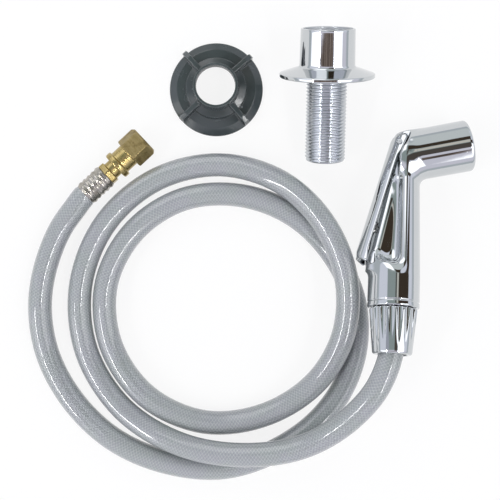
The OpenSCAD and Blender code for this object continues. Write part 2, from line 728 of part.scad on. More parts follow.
module snap_ring() {
    color("gray") in_head() down_handle(clip_z) difference() {
        ring(clip_d / 2, clip_groove_d / 2 + face_gap, clip_t);
        translate([0, -clip_groove_d / 2 + 1.5, -over]) cube([clip_d, clip_groove_d - 3, clip_t + 2 * over]);
    }
}

module hose_coupler() {
    color("white") in_head() difference() {
        union() {
            down_handle(nose_top) cylinder(d = coupler_d, h = clip_z - nose_top);
            down_handle(clip_z - face_gap) cylinder(d = clip_groove_d, h = clip_t + 3 * face_gap);
            down_handle(nut_shoulder) cylinder(d = coupler_d - 0.2, h = coupler_end - nut_shoulder);
            down_handle(coupler_end - over) cylinder(d = barb_d, h = coupler_barb_len + over);
        }
        down_handle(nose_top - over) cylinder(d = water_way_d, h = 3 * handle_len);
        down_handle(nose_top + swivel_groove_at)
            ring(coupler_d, coupler_d / 2 - swivel_groove_depth, swivel_groove_w);
    }
}

module swivel_o_ring() {
    wire_r = (swivel_groove_depth + run_gap) / 2 - 0.03;
    color("black") in_head() down_handle(nose_top + swivel_groove_at + swivel_groove_w / 2)
        o_ring(coupler_d / 2 - swivel_groove_depth + 0.02 + wire_r, wire_r);
}

module head_ferrule() {
    color("gray") in_head() down_handle(hose_end)
        ring(hose_squeezed_d / 2 + face_gap + ferrule_wall, hose_squeezed_d / 2 + face_gap,
             head_ferrule_len);
}

// ---- hose ----
module hose() {
    color("lightsteelblue") tube(hose_path, hose_dirs, hose_radii,
                                 [for (i = [0 : last_ring]) hose_bore_d / 2], hose_sides);
}

// ---- far-end fitting, along its axis from where the hose comes out ----
module crimp_ferrule() {
    inner = hose_squeezed_d / 2 + face_gap;
    low = inner + ferrule_wall;
    rib = ferrule_len / ferrule_ribs;
    color("gainsboro") in_tail() rotate_extrude() polygon(concat([[inner, 0]],
        [for (i = [0 : ferrule_ribs - 1], s = [[0, low], [0.3, ferrule_d / 2], [0.7, ferrule_d / 2]])
            [s[1], (i + s[0]) * rib]],
        [[low, ferrule_len], [inner, ferrule_len]]));
}

module tailpiece() {
    color("goldenrod") in_tail() difference() {
        union() {
            translate([0, 0, 2]) cylinder(d = barb_d, h = base_from - 2);
            translate([0, 0, base_from]) intersection() {
                cylinder(r = base_af / sqrt(3), h = base_len, $fn = 6);
                cylinder(d = base_af + 1.2, h = base_len);
            }
            translate([0, 0, neck_from]) cylinder(d = neck_d, h = tail_head_from - neck_from);
            translate([0, 0, tail_head_from]) cylinder(d = nut_thread_d - 0.3, h = tail_head_t);
        }
        translate([0, 0, -over]) cylinder(d = water_way_d, h = nut_end);
    }
}

module swivel_nut() {
    round_off = 0.8;
    color("darkgoldenrod") in_tail() difference() {
        union() {
            translate([0, 0, nut_from]) rotate_extrude() polygon([[0, 0], [collar_d / 2 - round_off, 0],
                [collar_d / 2, round_off], [collar_d / 2, collar_len - round_off],
                [collar_d / 2 - round_off, collar_len], [skirt_d / 2, collar_len],
                [skirt_d / 2, collar_len + skirt_len + over], [0, collar_len + skirt_len + over]]);
            intersection() {
                translate([0, 0, hex_from]) cylinder(r = hex_r, h = hex_len, $fn = 6);
                translate([0, 0, hex_from]) rotate_extrude() polygon([[0, 0], [hex_r - 0.6, 0],
                    [hex_r - 0.1, 0.5], [hex_r - 0.1, hex_len - 1.3], [hex_af / 2 - 0.3, hex_len], [0, hex_len]]);
            }
        }
        translate([0, 0, nut_from - over]) cylinder(d = neck_d + 2 * run_gap + 0.06, h = nut_end);
        translate([0, 0, tail_head_from - face_gap]) cylinder(d = nut_relief_d, h = relief_end - tail_head_from);
        translate([0, 0, tail_head_from]) cylinder(d = nut_thread_d, h = nut_end);
    }
}

module nut_gasket() {
    color("black") in_tail() translate([0, 0, tail_head_from + tail_head_t + face_gap])
        ring(nut_thread_d / 2 - 0.2, water_way_d / 2 + 1, washer_t);
}

// ---- hose guide, its own +Z out of the cup, z = 0 at the flange's underside ----
module hose_guide() {
    cone_top = rim_mid + cone_h;
    cup_top = rim_mid + cup_h;
    ridges = floor((shank_len - plain_neck - end_chamfer) / thread_pitch);
    thread_from = -shank_len + end_chamfer;
    root_r = shank_d / 2 - thread_depth;
    color("silver") in_guide() difference() {
        rotate_extrude() polygon(concat(
            [[0, -shank_len], [root_r - end_chamfer, -shank_len], [root_r, thread_from]],
            [for (i = [0 : ridges - 1], s = [[0.3, 1], [0.55, 1], [0.9, 0]])
                [root_r + s[1] * thread_depth, thread_from + (i + s[0]) * thread_pitch]],
            [[root_r, 0], [flange_d / 2 - rim_round, 0], [flange_d / 2, rim_round],
             [flange_d / 2, rim_t - rim_round], [flange_d / 2 - rim_round, rim_t], [cup_root_d / 2, cone_top],
             [cup_d / 2, cup_top], [0, cup_top]]));
        translate([0, 0, -shank_len - over]) cylinder(d = guide_bore_d, h = shank_len + cup_h);
        translate([0, 0, cone_top]) cylinder(r = cup_d / 2 - cup_wall, h = cup_h);
    }
}

// ---- mounting nut, lying on its rim, wings up ----
module mounting_nut() {
    bell_r = nut_flat_d / 2;
    color("darkslategray") translate([nut_at[0], nut_at[1], 0]) rotate([0, 0, nut_turn]) difference() {
        union() {
            rotate_extrude() polygon([[0, 0], [nut_d / 2, 0], [nut_d / 2, nut_edge_h],
                [bell_r, nut_flat_h], [nut_step_d / 2 + 0.4, nut_flat_h + 0.5], [nut_step_d / 2, nut_step_h],
                [hub_d / 2 + 0.5, nut_step_h + 1], [hub_d / 2, hub_h], [0, hub_h]]);
            for (k = [0 : 3]) rotate([0, 0, 90 * k]) slab([[nut_bore_d / 2 + 0.5, nut_flat_h - 1],
                [nut_bore_d / 2 + 0.5, wing_h], [wing_reach - wing_corner, wing_h - over],
                [wing_reach - 0.8, wing_h - wing_corner / 2], [wing_reach, wing_h - wing_corner],
                [nut_d / 2 - 0.4, nut_edge_h - 0.4], [bell_r, 0.6]], wing_t / 2);
        }
        translate([0, 0, -over]) cylinder(d = nut_bore_d, h = hub_h + 2 * over);
        rotate_extrude() polygon([[0, -over], [nut_d / 2 - nut_wall, -over], [nut_d / 2 - nut_wall, 0],
            [bell_r - 0.4, nut_flat_h - nut_wall], [nut_step_d / 2 - nut_wall + 0.4, nut_flat_h - nut_wall + 0.4],
            [nut_step_d / 2 - nut_wall, nut_step_h - nut_wall], [hub_d / 2 - 0.4, nut_step_h + 0.6],
            [nut_bore_d / 2, hub_h - nut_thread_len], [0, hub_h - nut_thread_len]]);
    }
}

head_shell();
lever();
lever_pin();
valve_cartridge();
cartridge_o_ring();
valve_stem();
stem_o_ring();
valve_seal();
valve_spring();
face_seal();
spray_face();
nozzle_ring();
coupling_nut();
coupler_washer();
snap_ring();
hose_coupler();
swivel_o_ring();
head_ferrule();
hose();
crimp_ferrule();
tailpiece();
swivel_nut();
nut_gasket();
hose_guide();
mounting_nut();
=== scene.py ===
import json
import math
import bpy
import numpy as np
from mathutils import Matrix, Vector


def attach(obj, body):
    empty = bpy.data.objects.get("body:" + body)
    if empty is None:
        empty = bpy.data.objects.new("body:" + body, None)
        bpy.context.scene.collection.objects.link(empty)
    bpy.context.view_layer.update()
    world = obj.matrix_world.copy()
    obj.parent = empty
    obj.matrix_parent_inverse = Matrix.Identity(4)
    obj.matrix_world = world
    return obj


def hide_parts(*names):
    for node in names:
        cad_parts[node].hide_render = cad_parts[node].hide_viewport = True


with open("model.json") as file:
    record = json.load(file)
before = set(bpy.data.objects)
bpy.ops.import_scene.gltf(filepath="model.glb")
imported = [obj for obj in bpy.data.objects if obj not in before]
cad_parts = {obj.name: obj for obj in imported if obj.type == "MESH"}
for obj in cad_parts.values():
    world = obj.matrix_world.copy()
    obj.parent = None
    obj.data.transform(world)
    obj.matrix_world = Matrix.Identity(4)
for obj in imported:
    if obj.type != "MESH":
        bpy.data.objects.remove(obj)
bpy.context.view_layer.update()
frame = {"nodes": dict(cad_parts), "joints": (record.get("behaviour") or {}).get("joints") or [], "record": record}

# A sink's side-spray kit, laid out on a white surface. Lengths are in metres; the shapes below
# are written in millimetres, in the frame of the piece that they belong to, and times MM.
MM = 0.001
NODES = frame["nodes"]
JOINTS = {j["name"]: j for j in frame["joints"]}
MOUNTS = {m["name"]: m for m in frame["record"]["mounts"]}

# ---------------------------------------------------------------- camera
PHOTO_SIDE = 500
FOCAL_PX = 912.5
SENSOR = 36.0
CAMERA_AT = (-0.038, -0.0315, 0.5)

camera = bpy.data.objects.new("camera", bpy.data.cameras.new("camera"))
bpy.context.scene.collection.objects.link(camera)
camera.data.sensor_width = SENSOR
camera.data.lens = FOCAL_PX / PHOTO_SIDE * SENSOR
camera.data.clip_start, camera.data.clip_end = 0.01, 20
camera.location = CAMERA_AT
bpy.context.scene.camera = camera


# ---------------------------------------------------------------- frames of the pieces
def frame_of(origin, x, y, z):
    """The matrix that takes a piece's own millimetres to the row frame."""
    m = Matrix((x, y, z)).transposed().to_4x4() @ Matrix.Diagonal((MM, MM, MM, 1))
    m.translation = origin
    return m


head_z = -Vector(JOINTS["head_roll"]["axis"]).normalized()
head_y = -Vector(JOINTS["lever_squeeze"]["axis"]).normalized()
head_x = head_y.cross(head_z).normalized()
HEAD = frame_of(Vector(JOINTS["head_roll"]["pos_m"]), head_x, head_y, head_z)
TAIL_OUT = Vector(JOINTS["swivel_spin"]["pos_m"])
TAIL_DIR = Vector(JOINTS["swivel_spin"]["axis"]).normalized()
UP = Vector((0, 0, 1))
TAIL = frame_of(TAIL_OUT, UP.cross(TAIL_DIR), UP, TAIL_DIR)
guide_z = Vector(MOUNTS["hose_passage"]["axis"]).normalized()
GUIDE = frame_of(Vector(MOUNTS["hose_passage"]["pos_m"]) + 22 * MM * guide_z,
                 Vector((1, 0, 0)), guide_z.cross(Vector((1, 0, 0))), guide_z)
NUT_TURN = math.radians(42)
nut_x = Vector((math.cos(NUT_TURN), math.sin(NUT_TURN), 0))
NUT = frame_of(Vector((*MOUNTS["nut_thread"]["pos_m"][:2], 0)), nut_x, UP.cross(nut_x), UP)

# ---------------------------------------------------------------- hose
HOSE_D = 12.7
HOSE_SQUEEZED_D = 11.8
HOSE_BORE_D = 6.4
FERRULE_LEN = 15.0
HEAD_HOSE_END = 93.3
HEAD_HOSE_STRAIGHT = 97.3
HOSE_ROUTE = [
    (-133, -9.5, 7.2), (-139.5, -18.5, 6.5), (-146.5, -34, 6.4), (-151.5, -58.5, 6.4),
    (-148, -86, 6.4), (-134.5, -112, 6.4), (-113, -133, 6.4), (-82, -146.5, 6.4),
    (-52, -149, 6.4), (-21.5, -138.5, 6.4), (-3, -125.5, 6.4), (11, -108, 6.4),
    (19, -86, 6.4), (18.5, -59, 6.4), (7, -34, 6.4), (-14, -13, 6.4),
    (-43, -2, 6.4), (-74, -4, 6.4), (-100, -20.5, 6.4), (-115.5, -49, 6.4),
    (-113.5, -82, 6.4), (-94, -110.5, 6.4), (-62.5, -124.5, 6.4), (-28.5, -120, 6.6),
    (-1.5, -101, 11.2), (11.5, -76, 17.4), (13, -48.5, 19.7), (2.4, -19.6, 19.3),
    (-21, 4.5, 13), (-54, 14.5, 7.2), (-88, 7, 6.4), (-115.5, -16, 6.4),
    (-129.5, -50, 6.4), (-126.5, -86, 6.4), (-107, -117, 7), (-74, -135.5, 13.5),
    (-42, -139.5, 19.4), (-11, -134.5, 23), (14, -118, 30.8), (28.2, -99.5, 35.4),
]


def smooth_path(points, first, last, steps, floor_z):
    """The curve that the hose's solid follows: cubic between the points, straight at both ends."""
    slopes = []
    for i, p in enumerate(points):
        if i < 2 or i > len(points) - 3:
            slopes.append(first if i < 2 else last)
            continue
        a, b = p - points[i - 1], points[i + 1] - p
        la, lb = a.length, b.length
        slopes.append((a / la * lb + b / lb * la) / (la + lb))
    path = []
    for i in range(len(points) - 1):
        p, q, m, n = points[i], points[i + 1], slopes[i], slopes[i + 1]
        h = (q - p).length
        count = 2 if i in (0, len(points) - 2) else steps
        for j in range(count):
            t = j / count
            at = ((2 * t**3 - 3 * t**2 + 1) * p + (t**3 - 2 * t**2 + t) * h * m
                  + (3 * t**2 - 2 * t**3) * q + (t**3 - t**2) * h * n)
            at.z = max(at.z, floor_z)
            path.append(at)
    return path + [points[-1]]


def hose_path(steps):
    ends = [TAIL_OUT + TAIL_DIR * FERRULE_LEN * MM, TAIL_OUT]
    route = [Vector(p) * MM for p in HOSE_ROUTE]
    head = [HEAD @ Vector((0, 0, -HEAD_HOSE_STRAIGHT)), HEAD @ Vector((0, 0, -HEAD_HOSE_END))]
    return smooth_path(ends + route + head, -TAIL_DIR, head_z, steps, HOSE_D / 2 * MM)


def new_object(name, verts, faces, uv=None):
    mesh = bpy.data.meshes.new(name)
    mesh.from_pydata(verts, [], faces)
    if uv is not None:
        layer = mesh.uv_layers.new(name="along")
        for loop in mesh.loops:
            layer.data[loop.index].uv = uv[loop.index]
    mesh.polygons.foreach_set("use_smooth", [True] * len(mesh.polygons))
    mesh.validate()
    mesh.update()
    obj = bpy.data.objects.new(name, mesh)
    bpy.context.scene.collection.objects.link(obj)
    return obj


def tube_rings(path, radius_at, sides):
    """Rings of points square to the path, without twist, and the length so far at each ring."""
    rings, lengths = [], [0.0]
    for i, p in enumerate(path):
        along = (path[min(i + 1, len(path) - 1)] - path[max(i - 1, 0)]).normalized()
        side = UP.cross(along).normalized()
        up = along.cross(side)
        r = radius_at(i)
        rings.append([p + r * (math.cos(a) * side + math.sin(a) * up)
                      for a in (2 * math.pi * k / sides for k in range(sides))])
        if i:
            lengths.append(lengths[-1] + (p - path[i - 1]).length)
    return rings, lengths


def dressed(obj, body, node):
    """Says which body a piece rides on, and hides the CAD node that it replaces."""
    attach(obj, body)
    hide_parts(node)


HOSE_SIDES = 28
HOSE_STEPS = 8
SQUEEZED_RINGS = 3


def hose_tube(line):
    """The hose, with a UV map of turns round it and millimetres along it, and its length."""
    last = len(line) - 1

    def radius(i):
        """The hose swells from each ferrule's squeeze to its own size over a few millimetres."""
        squeezed = i < SQUEEZED_RINGS or i > last - SQUEEZED_RINGS
        return (HOSE_SQUEEZED_D if squeezed else HOSE_D) / 2 * MM

    rings, run = tube_rings(line, radius, HOSE_SIDES)
    verts = [v for ring in rings for v in ring]
    faces, uv = [], []
    for i in range(last):
        for k in range(HOSE_SIDES):
            n = (k + 1) % HOSE_SIDES
            faces.append((i * HOSE_SIDES + k, i * HOSE_SIDES + n,
                          (i + 1) * HOSE_SIDES + n, (i + 1) * HOSE_SIDES + k))
            u0, u1 = k / HOSE_SIDES, (k + 1) / HOSE_SIDES
            v0, v1 = run[i] / MM, run[i + 1] / MM
            uv += [(u0, v0), (u1, v0), (u1, v1), (u0, v1)]
    # both ends are turned in to the bore, as a cut hose's are
    for end, flip in ((0, True), (last, False)):
        centre, inner = line[end], len(verts)
        for k in range(HOSE_SIDES):
            v = rings[end][k] - centre
            verts.append(centre + v * (HOSE_BORE_D / 2 * MM / v.length))
        for k in range(HOSE_SIDES):
            n = (k + 1) % HOSE_SIDES
            quad = (end * HOSE_SIDES + k, end * HOSE_SIDES + n, inner + n, inner + k)
            faces.append(quad[::-1] if flip else quad)
            uv += [(0.0, 0.0)] * 4
    return new_object("hose_tube", verts, faces, uv), run[-1]


hose_line = hose_path(HOSE_STEPS)
hose, hose_length = hose_tube(hose_line)
dressed(hose, "hose_assembly", "hose")

# ---------------------------------------------------------------- meshes from distance fields
# A cast or moulded piece is written as its distance: negative inside, and blends round an edge.
def smin(a, b, k):
    h = np.maximum(k - np.abs(a - b), 0) / k
    return np.minimum(a, b) - h * h * k / 4


def smax(a, b, k):
    return -smin(-a, -b, k)


def profile(at, points):
    """The value at a height, straight between (height, value) points."""
    return np.interp(at, *zip(*points))


def polygon_distance(u, v, points):
    """Distance to a closed outline, negative inside it."""
    best, inside = np.full(u.shape, 1e9), np.zeros(u.shape, bool)
    for (au, av), (bu, bv) in zip(points, points[1:] + points[:1]):
        eu, ev, wu, wv = bu - au, bv - av, u - au, v - av
        t = np.clip((wu * eu + wv * ev) / (eu * eu + ev * ev), 0, 1)
        best = np.minimum(best, (wu - eu * t) ** 2 + (wv - ev * t) ** 2)
        if av != bv:
            inside ^= ((av <= v) != (bv <= v)) & (wu < eu * (v - av) / ev)
    return np.where(inside, -1, 1) * np.sqrt(best)


EVENING_PASSES = 4
SETTLING_PASSES = 3
SLOPE_REACH = 0.08


def surface_of(distance, axes):
    """Quads on the zero of a distance: one point for each cell that the surface crosses, evened
    out and pulled onto the surface. Returns points, quads and the surface's normals."""
    d = distance(*np.meshgrid(*axes, indexing="ij"))
    inside = d < 0
    n = [s - 1 for s in d.shape]

    def at(a, c):
        return a[c[0]:n[0] + c[0], c[1]:n[1] + c[1], c[2]:n[2] + c[2]]

    corners = [(i, j, k) for i in (0, 1) for j in (0, 1) for k in (0, 1)]
    count = sum(at(inside, c).astype(int) for c in corners)
    crossed = (count > 0) & (count < 8)
    where = np.argwhere(crossed)
    index = np.full(crossed.shape, -1)
    index[crossed] = np.arange(len(where))
    total, number = np.zeros((len(where), 3)), np.zeros(len(where))
    for axis in range(3):
        for c in corners:
            if c[axis]:
                continue
            e = list(c)
            e[axis] = 1
            a, b = at(d, c)[crossed], at(d, e)[crossed]
            cut = (a < 0) != (b < 0)
            p = where[cut] + np.array(c, float)
            p[:, axis] += a[cut] / (a[cut] - b[cut])
            total[cut] += p
            number[cut] += 1
    mean = total / number[:, None]
    verts = np.stack([np.interp(mean[:, k], np.arange(len(axes[k])), axes[k]) for k in range(3)], 1)
    quads = []
    for axis in range(3):
        o1, o2 = (axis + 1) % 3, (axis + 2) % 3
        low, high = [slice(None)] * 3, [slice(None)] * 3
        low[axis], high[axis] = slice(0, -1), slice(1, None)
        g = np.argwhere(inside[tuple(low)] != inside[tuple(high)])
        g = g[(g[:, o1] > 0) & (g[:, o2] > 0) & (g[:, o1] < n[o1]) & (g[:, o2] < n[o2])]
        ring = []
        for d1, d2 in ((-1, -1), (0, -1), (0, 0), (-1, 0)):
            q = g.copy()
            q[:, o1] += d1
            q[:, o2] += d2
            ring.append(index[tuple(q.T)])
        ring = np.stack(ring, 1)
        leaving = inside[tuple(g.T)]
        ring[~leaving] = ring[~leaving][:, ::-1]
        quads.append(ring)
    quads = np.concatenate(quads)
    cell = min(np.diff(a).max() for a in axes)
    reach = cell * SLOPE_REACH

    def slope(v):
        g = np.empty_like(v)
        for k in range(3):
            step = np.zeros(3)
            step[k] = reach
            g[:, k] = distance(*(v + step).T) - distance(*(v - step).T)
        return g / (2 * reach)

    for i in range(EVENING_PASSES + SETTLING_PASSES):
        if i < EVENING_PASSES:
            total, number = np.zeros_like(verts), np.zeros(len(verts))
            for k in range(4):
                a, b = quads[:, k], quads[:, (k + 1) % 4]
                for p, q in ((a, b), (b, a)):
                    for x in range(3):
                        total[:, x] += np.bincount(p, verts[q, x], len(verts))
                    number += np.bincount(p, minlength=len(verts))
            verts = 0.5 * verts + 0.5 * total / number[:, None]
        g = slope(verts)
        move = distance(*verts.T)[:, None] * g / np.maximum((g * g).sum(1), 0.05)[:, None]
        far = np.linalg.norm(move, axis=1)
        verts = verts - move * np.minimum(1, cell / np.maximum(far, 1e-9))[:, None]
    g = slope(verts)
    return verts, quads, g / np.linalg.norm(g, axis=1)[:, None]


def grid(low, high, cell, fine=None):
    """Grid lines from low to high, closer together between fine's first two numbers."""
    if fine is None:
        return np.arange(low, high + cell, cell)
    a, b, small = fine
    return np.concatenate([np.arange(low, a, cell), np.arange(a, b, small),
                           np.arange(b, high + cell, cell)])


def placed(points, place):
    m = np.array(place)
    return points @ m[:3, :3].T + m[:3, 3]


def cast_piece(name, distance, axes, place):
    """An object from a distance field, in the row frame, with the field's own normals."""
    verts, quads, normals = surface_of(distance, axes)
    obj = new_object(name, placed(verts, place).tolist(), quads.tolist())
    turn = np.array(place)[:3, :3] / MM
    obj.data.normals_split_custom_set_from_vertices((normals @ turn.T).tolist())
    return obj


def turned_piece(name, outline, columns, place, shape):
    """A closed (r, z) outline turned round z. shape(r, z, angle) returns r and z as they end up."""
    angle = 2 * math.pi * np.arange(columns) / columns
    r, z = (np.repeat(np.array(outline, float)[:, k][:, None], columns, 1) for k in (0, 1))
    around = np.repeat(angle[None, :], len(outline), 0)
    r, z = shape(r, z, around)
    points = np.stack([r * np.cos(around), r * np.sin(around), z], -1).reshape(-1, 3)
    faces = []
    for i in range(len(outline)):
        j = (i + 1) % len(outline)
        for k in range(columns):
            n = (k + 1) % columns
            faces.append((i * columns + k, i * columns + n, j * columns + n, j * columns + k))
    obj = new_object(name, placed(points, place).tolist(), faces)
    keep_flats_flat(obj)
    return obj


def keep_flats_flat(obj):
    """Shade by the large faces, so that a rounded edge doesn't bend the faces beside it."""
    mod = obj.modifiers.new("weighted", "WEIGHTED_NORMAL")
    mod.mode, mod.weight = "FACE_AREA", 80


# ---------------------------------------------------------------- spray head
# the lever: its tip and its pin in the head's x and z, and its outline from the side
LEAN = math.radians(15)
LEVER_TIP = (-20.3, -52.2)
PIN = (0.352, 7.076)
PIN_HOLE_R = 1.3
LEVER_HOLE = (4.6, 62.6)
LEVER_R = 8
LEVER_CHANNEL_R = 6.4
LEVER_SIDE = [(0, 1), (0, 62.8), (0.6, 65), (2.4, 66.2), (6.6, 67.8), (8, 66.4), (7.1, 58.8),
              (5.8, 55.4), (5.4, 3), (6.9, -3.2), (5.9, -4.1), (1.2, -2.6)]
SQUEEZE_STEPS = [math.radians(d) for d in (0, 1, 2, 3)]
LEVER_CLEARANCE = 0.25
# the handle: its radius by height, the slope that its shoulder is cut to, and its groove
HANDLE_LEN = 80.5
HANDLE_R = [(-HANDLE_LEN, 13.35), (-64, 13.35), (0, 12.0)]
HANDLE_TOP = 2
HANDLE_BACK = 1.5
SHOULDER_AT = (-3.5, -57.2)
SHOULDER_SLOPE = (0.371, 0.928)
GROOVE_AT = (13.5, 2.9 - HANDLE_LEN)
GROOVE_HALF_WIDTH = 0.1
GROOVE_R = 0.42
# the rib and its web
RIB_LEAN = math.radians(12)
RIB_AT = (2.895, 6.536)
RIB_SHIFT = 0.6
RIB_R = 5.3
RIB_BACK = -14.2
WEB_HALF = 4.2
WEB_FRONT = 4
SPINE_TOP = 12
SPINE_END = -61
# the elbow's ball and the barrel, whose direction is given by its x and z
BARREL_DIR = (0.97237, 0.23345)
BALL_R = 12.4
SWELL, SWELL_LEN = 1.1, 9
FLARE, FLARE_LEN = 0.2, 30
BARREL_LEN = 38.9
BARREL_BACK = [(-14, 1.5), (-2, -3), (7.75, -2.17), (16.5, 0.79)]
EARS_BACK = [(-14, 1.5), (-1.24, 1.22), (16.6, 8.07)]
NECK_AT = 8.6
NECK_R = 6.1
# the spigot that the coupling nut screws on, and what is bored into the head
SPIGOT_R = 10.1
SPIGOT_FROM, SPIGOT_TO = -89.5, -79
FACE_SEAT_R, FACE_SEAT_FROM = 10.8, 30.9
NOZZLE_BORE_R, NOZZLE_BORE_FROM = 9.8, 7
SOCKET_R, SOCKET_TOP = 6.95, -78.5
WATERWAY_R, WATERWAY_TOP = 5, -70.5
VALVE_R, VALVE_Z, VALVE_FRONT = 3.65, -38, 9.8


def in_lever(x, z, squeezed=0.0):
    """From the head's x and z to the lever's: into the body, and up its back."""
    px, pz = x - PIN[0], z - PIN[1]
    dx = px * math.cos(squeezed) + pz * math.sin(squeezed) + PIN[0] - LEVER_TIP[0]
    dz = pz * math.cos(squeezed) - px * math.sin(squeezed) + PIN[1] - LEVER_TIP[1]
    return dx * math.cos(LEAN) - dz * math.sin(LEAN), dx * math.sin(LEAN) + dz * math.cos(LEAN)


def lever_channel(x, y):
    """Distances to the lever's half-round back from outside, and to the channel in it."""
    from_middle = np.where(x < LEVER_R, np.hypot(x - LEVER_R, y), np.abs(y))
    return from_middle - LEVER_R, from_middle - LEVER_CHANNEL_R


def lever_room(x, y, z):
    """The space that the lever sweeps as it is squeezed, with its clearance."""
    room = np.full(np.shape(x), 99.0)
    for squeezed in SQUEEZE_STEPS:
        lx, lz = in_lever(x, z, squeezed)
        outer, inner = lever_channel(lx, y)
        side = polygon_distance(lx, lz, LEVER_SIDE)
        room = np.minimum(room, np.maximum(np.maximum(side, outer), -inner))
    return room - LEVER_CLEARANCE


def handle_form(x, z, rho):
    """A taper, cut away behind so that the lever has room, with a groove near its end."""
    form = smax(rho - profile(z, HANDLE_R), -HANDLE_LEN - z, 0.8)
    form = smax(form, z - HANDLE_TOP, 0.5)
    shoulder = SHOULDER_SLOPE[1] * (z - SHOULDER_AT[1]) + SHOULDER_SLOPE[0] * (x - SHOULDER_AT[0])
    form = smax(form, smin(shoulder, HANDLE_BACK - x, 6.0), 5.0)
    beside = np.maximum(np.abs(z - GROOVE_AT[1]) - GROOVE_HALF_WIDTH, 0)
    return smax(form, -(np.hypot(beside, rho - GROOVE_AT[0]) - GROOVE_R), 0.15)


def spine_form(x, y, z):
    """The rib that leans back from the elbow, and the web between it and the handle."""
    off = (x - RIB_AT[0]) * math.cos(RIB_LEAN) - (z - RIB_AT[1]) * math.sin(RIB_LEAN)
    rib = smax(np.hypot(off - RIB_SHIFT, y) - RIB_R, RIB_BACK - x, 2.0)
    web = smax(smax(np.abs(y) - WEB_HALF, -off, 0.6), x - WEB_FRONT, 0.6)
    spine = smax(smin(rib, web, 3.5), z - SPINE_TOP - 0.1 * x, 1.5)
    return smax(spine, SPINE_END - z, 0.6)


def barrel_form(x, y, z, along, off):
    """The elbow's ball and the barrel, cut back for the lever's ears either side of a neck."""
    swell = np.clip(along / SWELL_LEN, 0, 1)
    flare = np.clip((along - SWELL_LEN) / FLARE_LEN, 0, 1)
    radius = BALL_R + SWELL * swell ** 2 * (3 - 2 * swell) + FLARE * flare
    form = np.where(along < 0, np.hypot(along, off) - BALL_R, off - radius)
    form = smax(form, along - BARREL_LEN, 2.0)
    lx, _ = in_lever(x, z)
    neck = np.where(lx < NECK_AT, np.hypot(lx - NECK_AT, y), np.abs(y)) - NECK_R
    form = smax(form, -smax(x - profile(z, EARS_BACK), -neck, 0.5), 0.6)
    return smax(form, profile(z, BARREL_BACK) - x, 0.8)


def spray_body(x, y, z):
    rho = np.hypot(x, y)
    along, across = BARREL_DIR[0] * x + BARREL_DIR[1] * z, -BARREL_DIR[1] * x + BARREL_DIR[0] * z
    off = np.hypot(y, across)
    body = smin(handle_form(x, z, rho), barrel_form(x, y, z, along, off), 5.0)
    body = smin(body, spine_form(x, y, z), 4.5)
    spigot = smax(rho - SPIGOT_R, smax(SPIGOT_FROM - z, z - SPIGOT_TO, 0.5), 0.5)
    body = smin(body, spigot, 0.5)
    body = smax(body, -lever_room(x, y, z), 0.3)
    nozzle = np.minimum(smax(off - FACE_SEAT_R, FACE_SEAT_FROM - along, 0.3),
                        smax(off - NOZZLE_BORE_R, NOZZLE_BORE_FROM - along, 0.3))
    body = smax(body, -nozzle, 0.6)
    hole = np.minimum(smax(rho - SOCKET_R, z - SOCKET_TOP, 0.3),
                      smax(rho - WATERWAY_R, z - WATERWAY_TOP, 0.3))
    hole = np.minimum(hole, smax(np.hypot(y, z - VALVE_Z) - VALVE_R, x - VALVE_FRONT, 0.3))
    hole = np.minimum(hole, np.hypot(x - PIN[0], z - PIN[1]) - PIN_HOLE_R)
    return smax(body, -hole, 0.3)


def lever_body(x, y, z):
    outer, inner = lever_channel(x, y)
    blank = smax(polygon_distance(x, z, LEVER_SIDE), outer, 0.9)
    blank = smax(blank, -inner, 0.5)
    return smax(blank, -(np.hypot(x - LEVER_HOLE[0], z - LEVER_HOLE[1]) - PIN_HOLE_R), 0.3)


# the grid is finer across the groove
head_piece = cast_piece("spray_head_body", spray_body, (
    grid(-22, 43, 0.6), grid(-15.5, 15.5, 0.6), grid(-91, 24, 0.6, (-79.2, -76.2, 0.2))), HEAD)
dressed(head_piece, "spray_head", "head_shell")
LEVER_PLACE = HEAD @ (Matrix.Translation((LEVER_TIP[0], 0, LEVER_TIP[1])) @ Matrix.Rotation(LEAN, 4, "Y"))
lever_piece = cast_piece("back_lever", lever_body, (
    grid(-1.2, 9.6, 0.42), grid(-9.2, 9.2, 0.42), grid(-5.5, 69.5, 0.5)), LEVER_PLACE)
dressed(lever_piece, "lever", "lever")

# the fluted coupling nut: flutes cut deep at the top run out before the end
COUPLING_TOP = -80.8
COUPLING_LEN = 23.7
COUPLING_BOTTOM = COUPLING_TOP - COUPLING_LEN
COUPLING_R = 12.35
COUPLING_TAPER = 2.25
COUPLING_MOUTH_R = 7.6
COUPLING_THREAD_R = 10.2
COUPLING_LEDGE = -92.15
FLUTES = 18
FLUTE_R = 2.0
FLUTE_AXIS = 13.25
FLUTE_RISE = 0.79
FLUTE_COLUMNS = 18
NO_CUT = 99
COUPLING_ROWS = [0, 0.15, 0.45, 0.9, 2, 4, 6.5, 9, 11.5, 14, 16, 17.5, 19, 20.3, 21.4, 22.3, 22.9, 23.3,
                 23.55, COUPLING_LEN]
COUPLING_EDGES = [(0, 0.9), (0.15, 0.45), (0.45, 0.12), (0.9, 0), (22.3, 0), (22.9, 0.08), (23.3, 0.3),
                  (23.55, 0.6), (COUPLING_LEN, 1.0)]
outside = [(COUPLING_R - COUPLING_TAPER * d / COUPLING_LEN - profile(d, COUPLING_EDGES), COUPLING_TOP - d)
           for d in COUPLING_ROWS]
inside = [(8.1, COUPLING_BOTTOM), (7.75, COUPLING_BOTTOM + 0.15), (COUPLING_MOUTH_R, COUPLING_BOTTOM + 0.5),
          (COUPLING_MOUTH_R, COUPLING_LEDGE), (COUPLING_THREAD_R, COUPLING_LEDGE),
          (COUPLING_THREAD_R, COUPLING_TOP - 0.4), (10.6, COUPLING_TOP)]


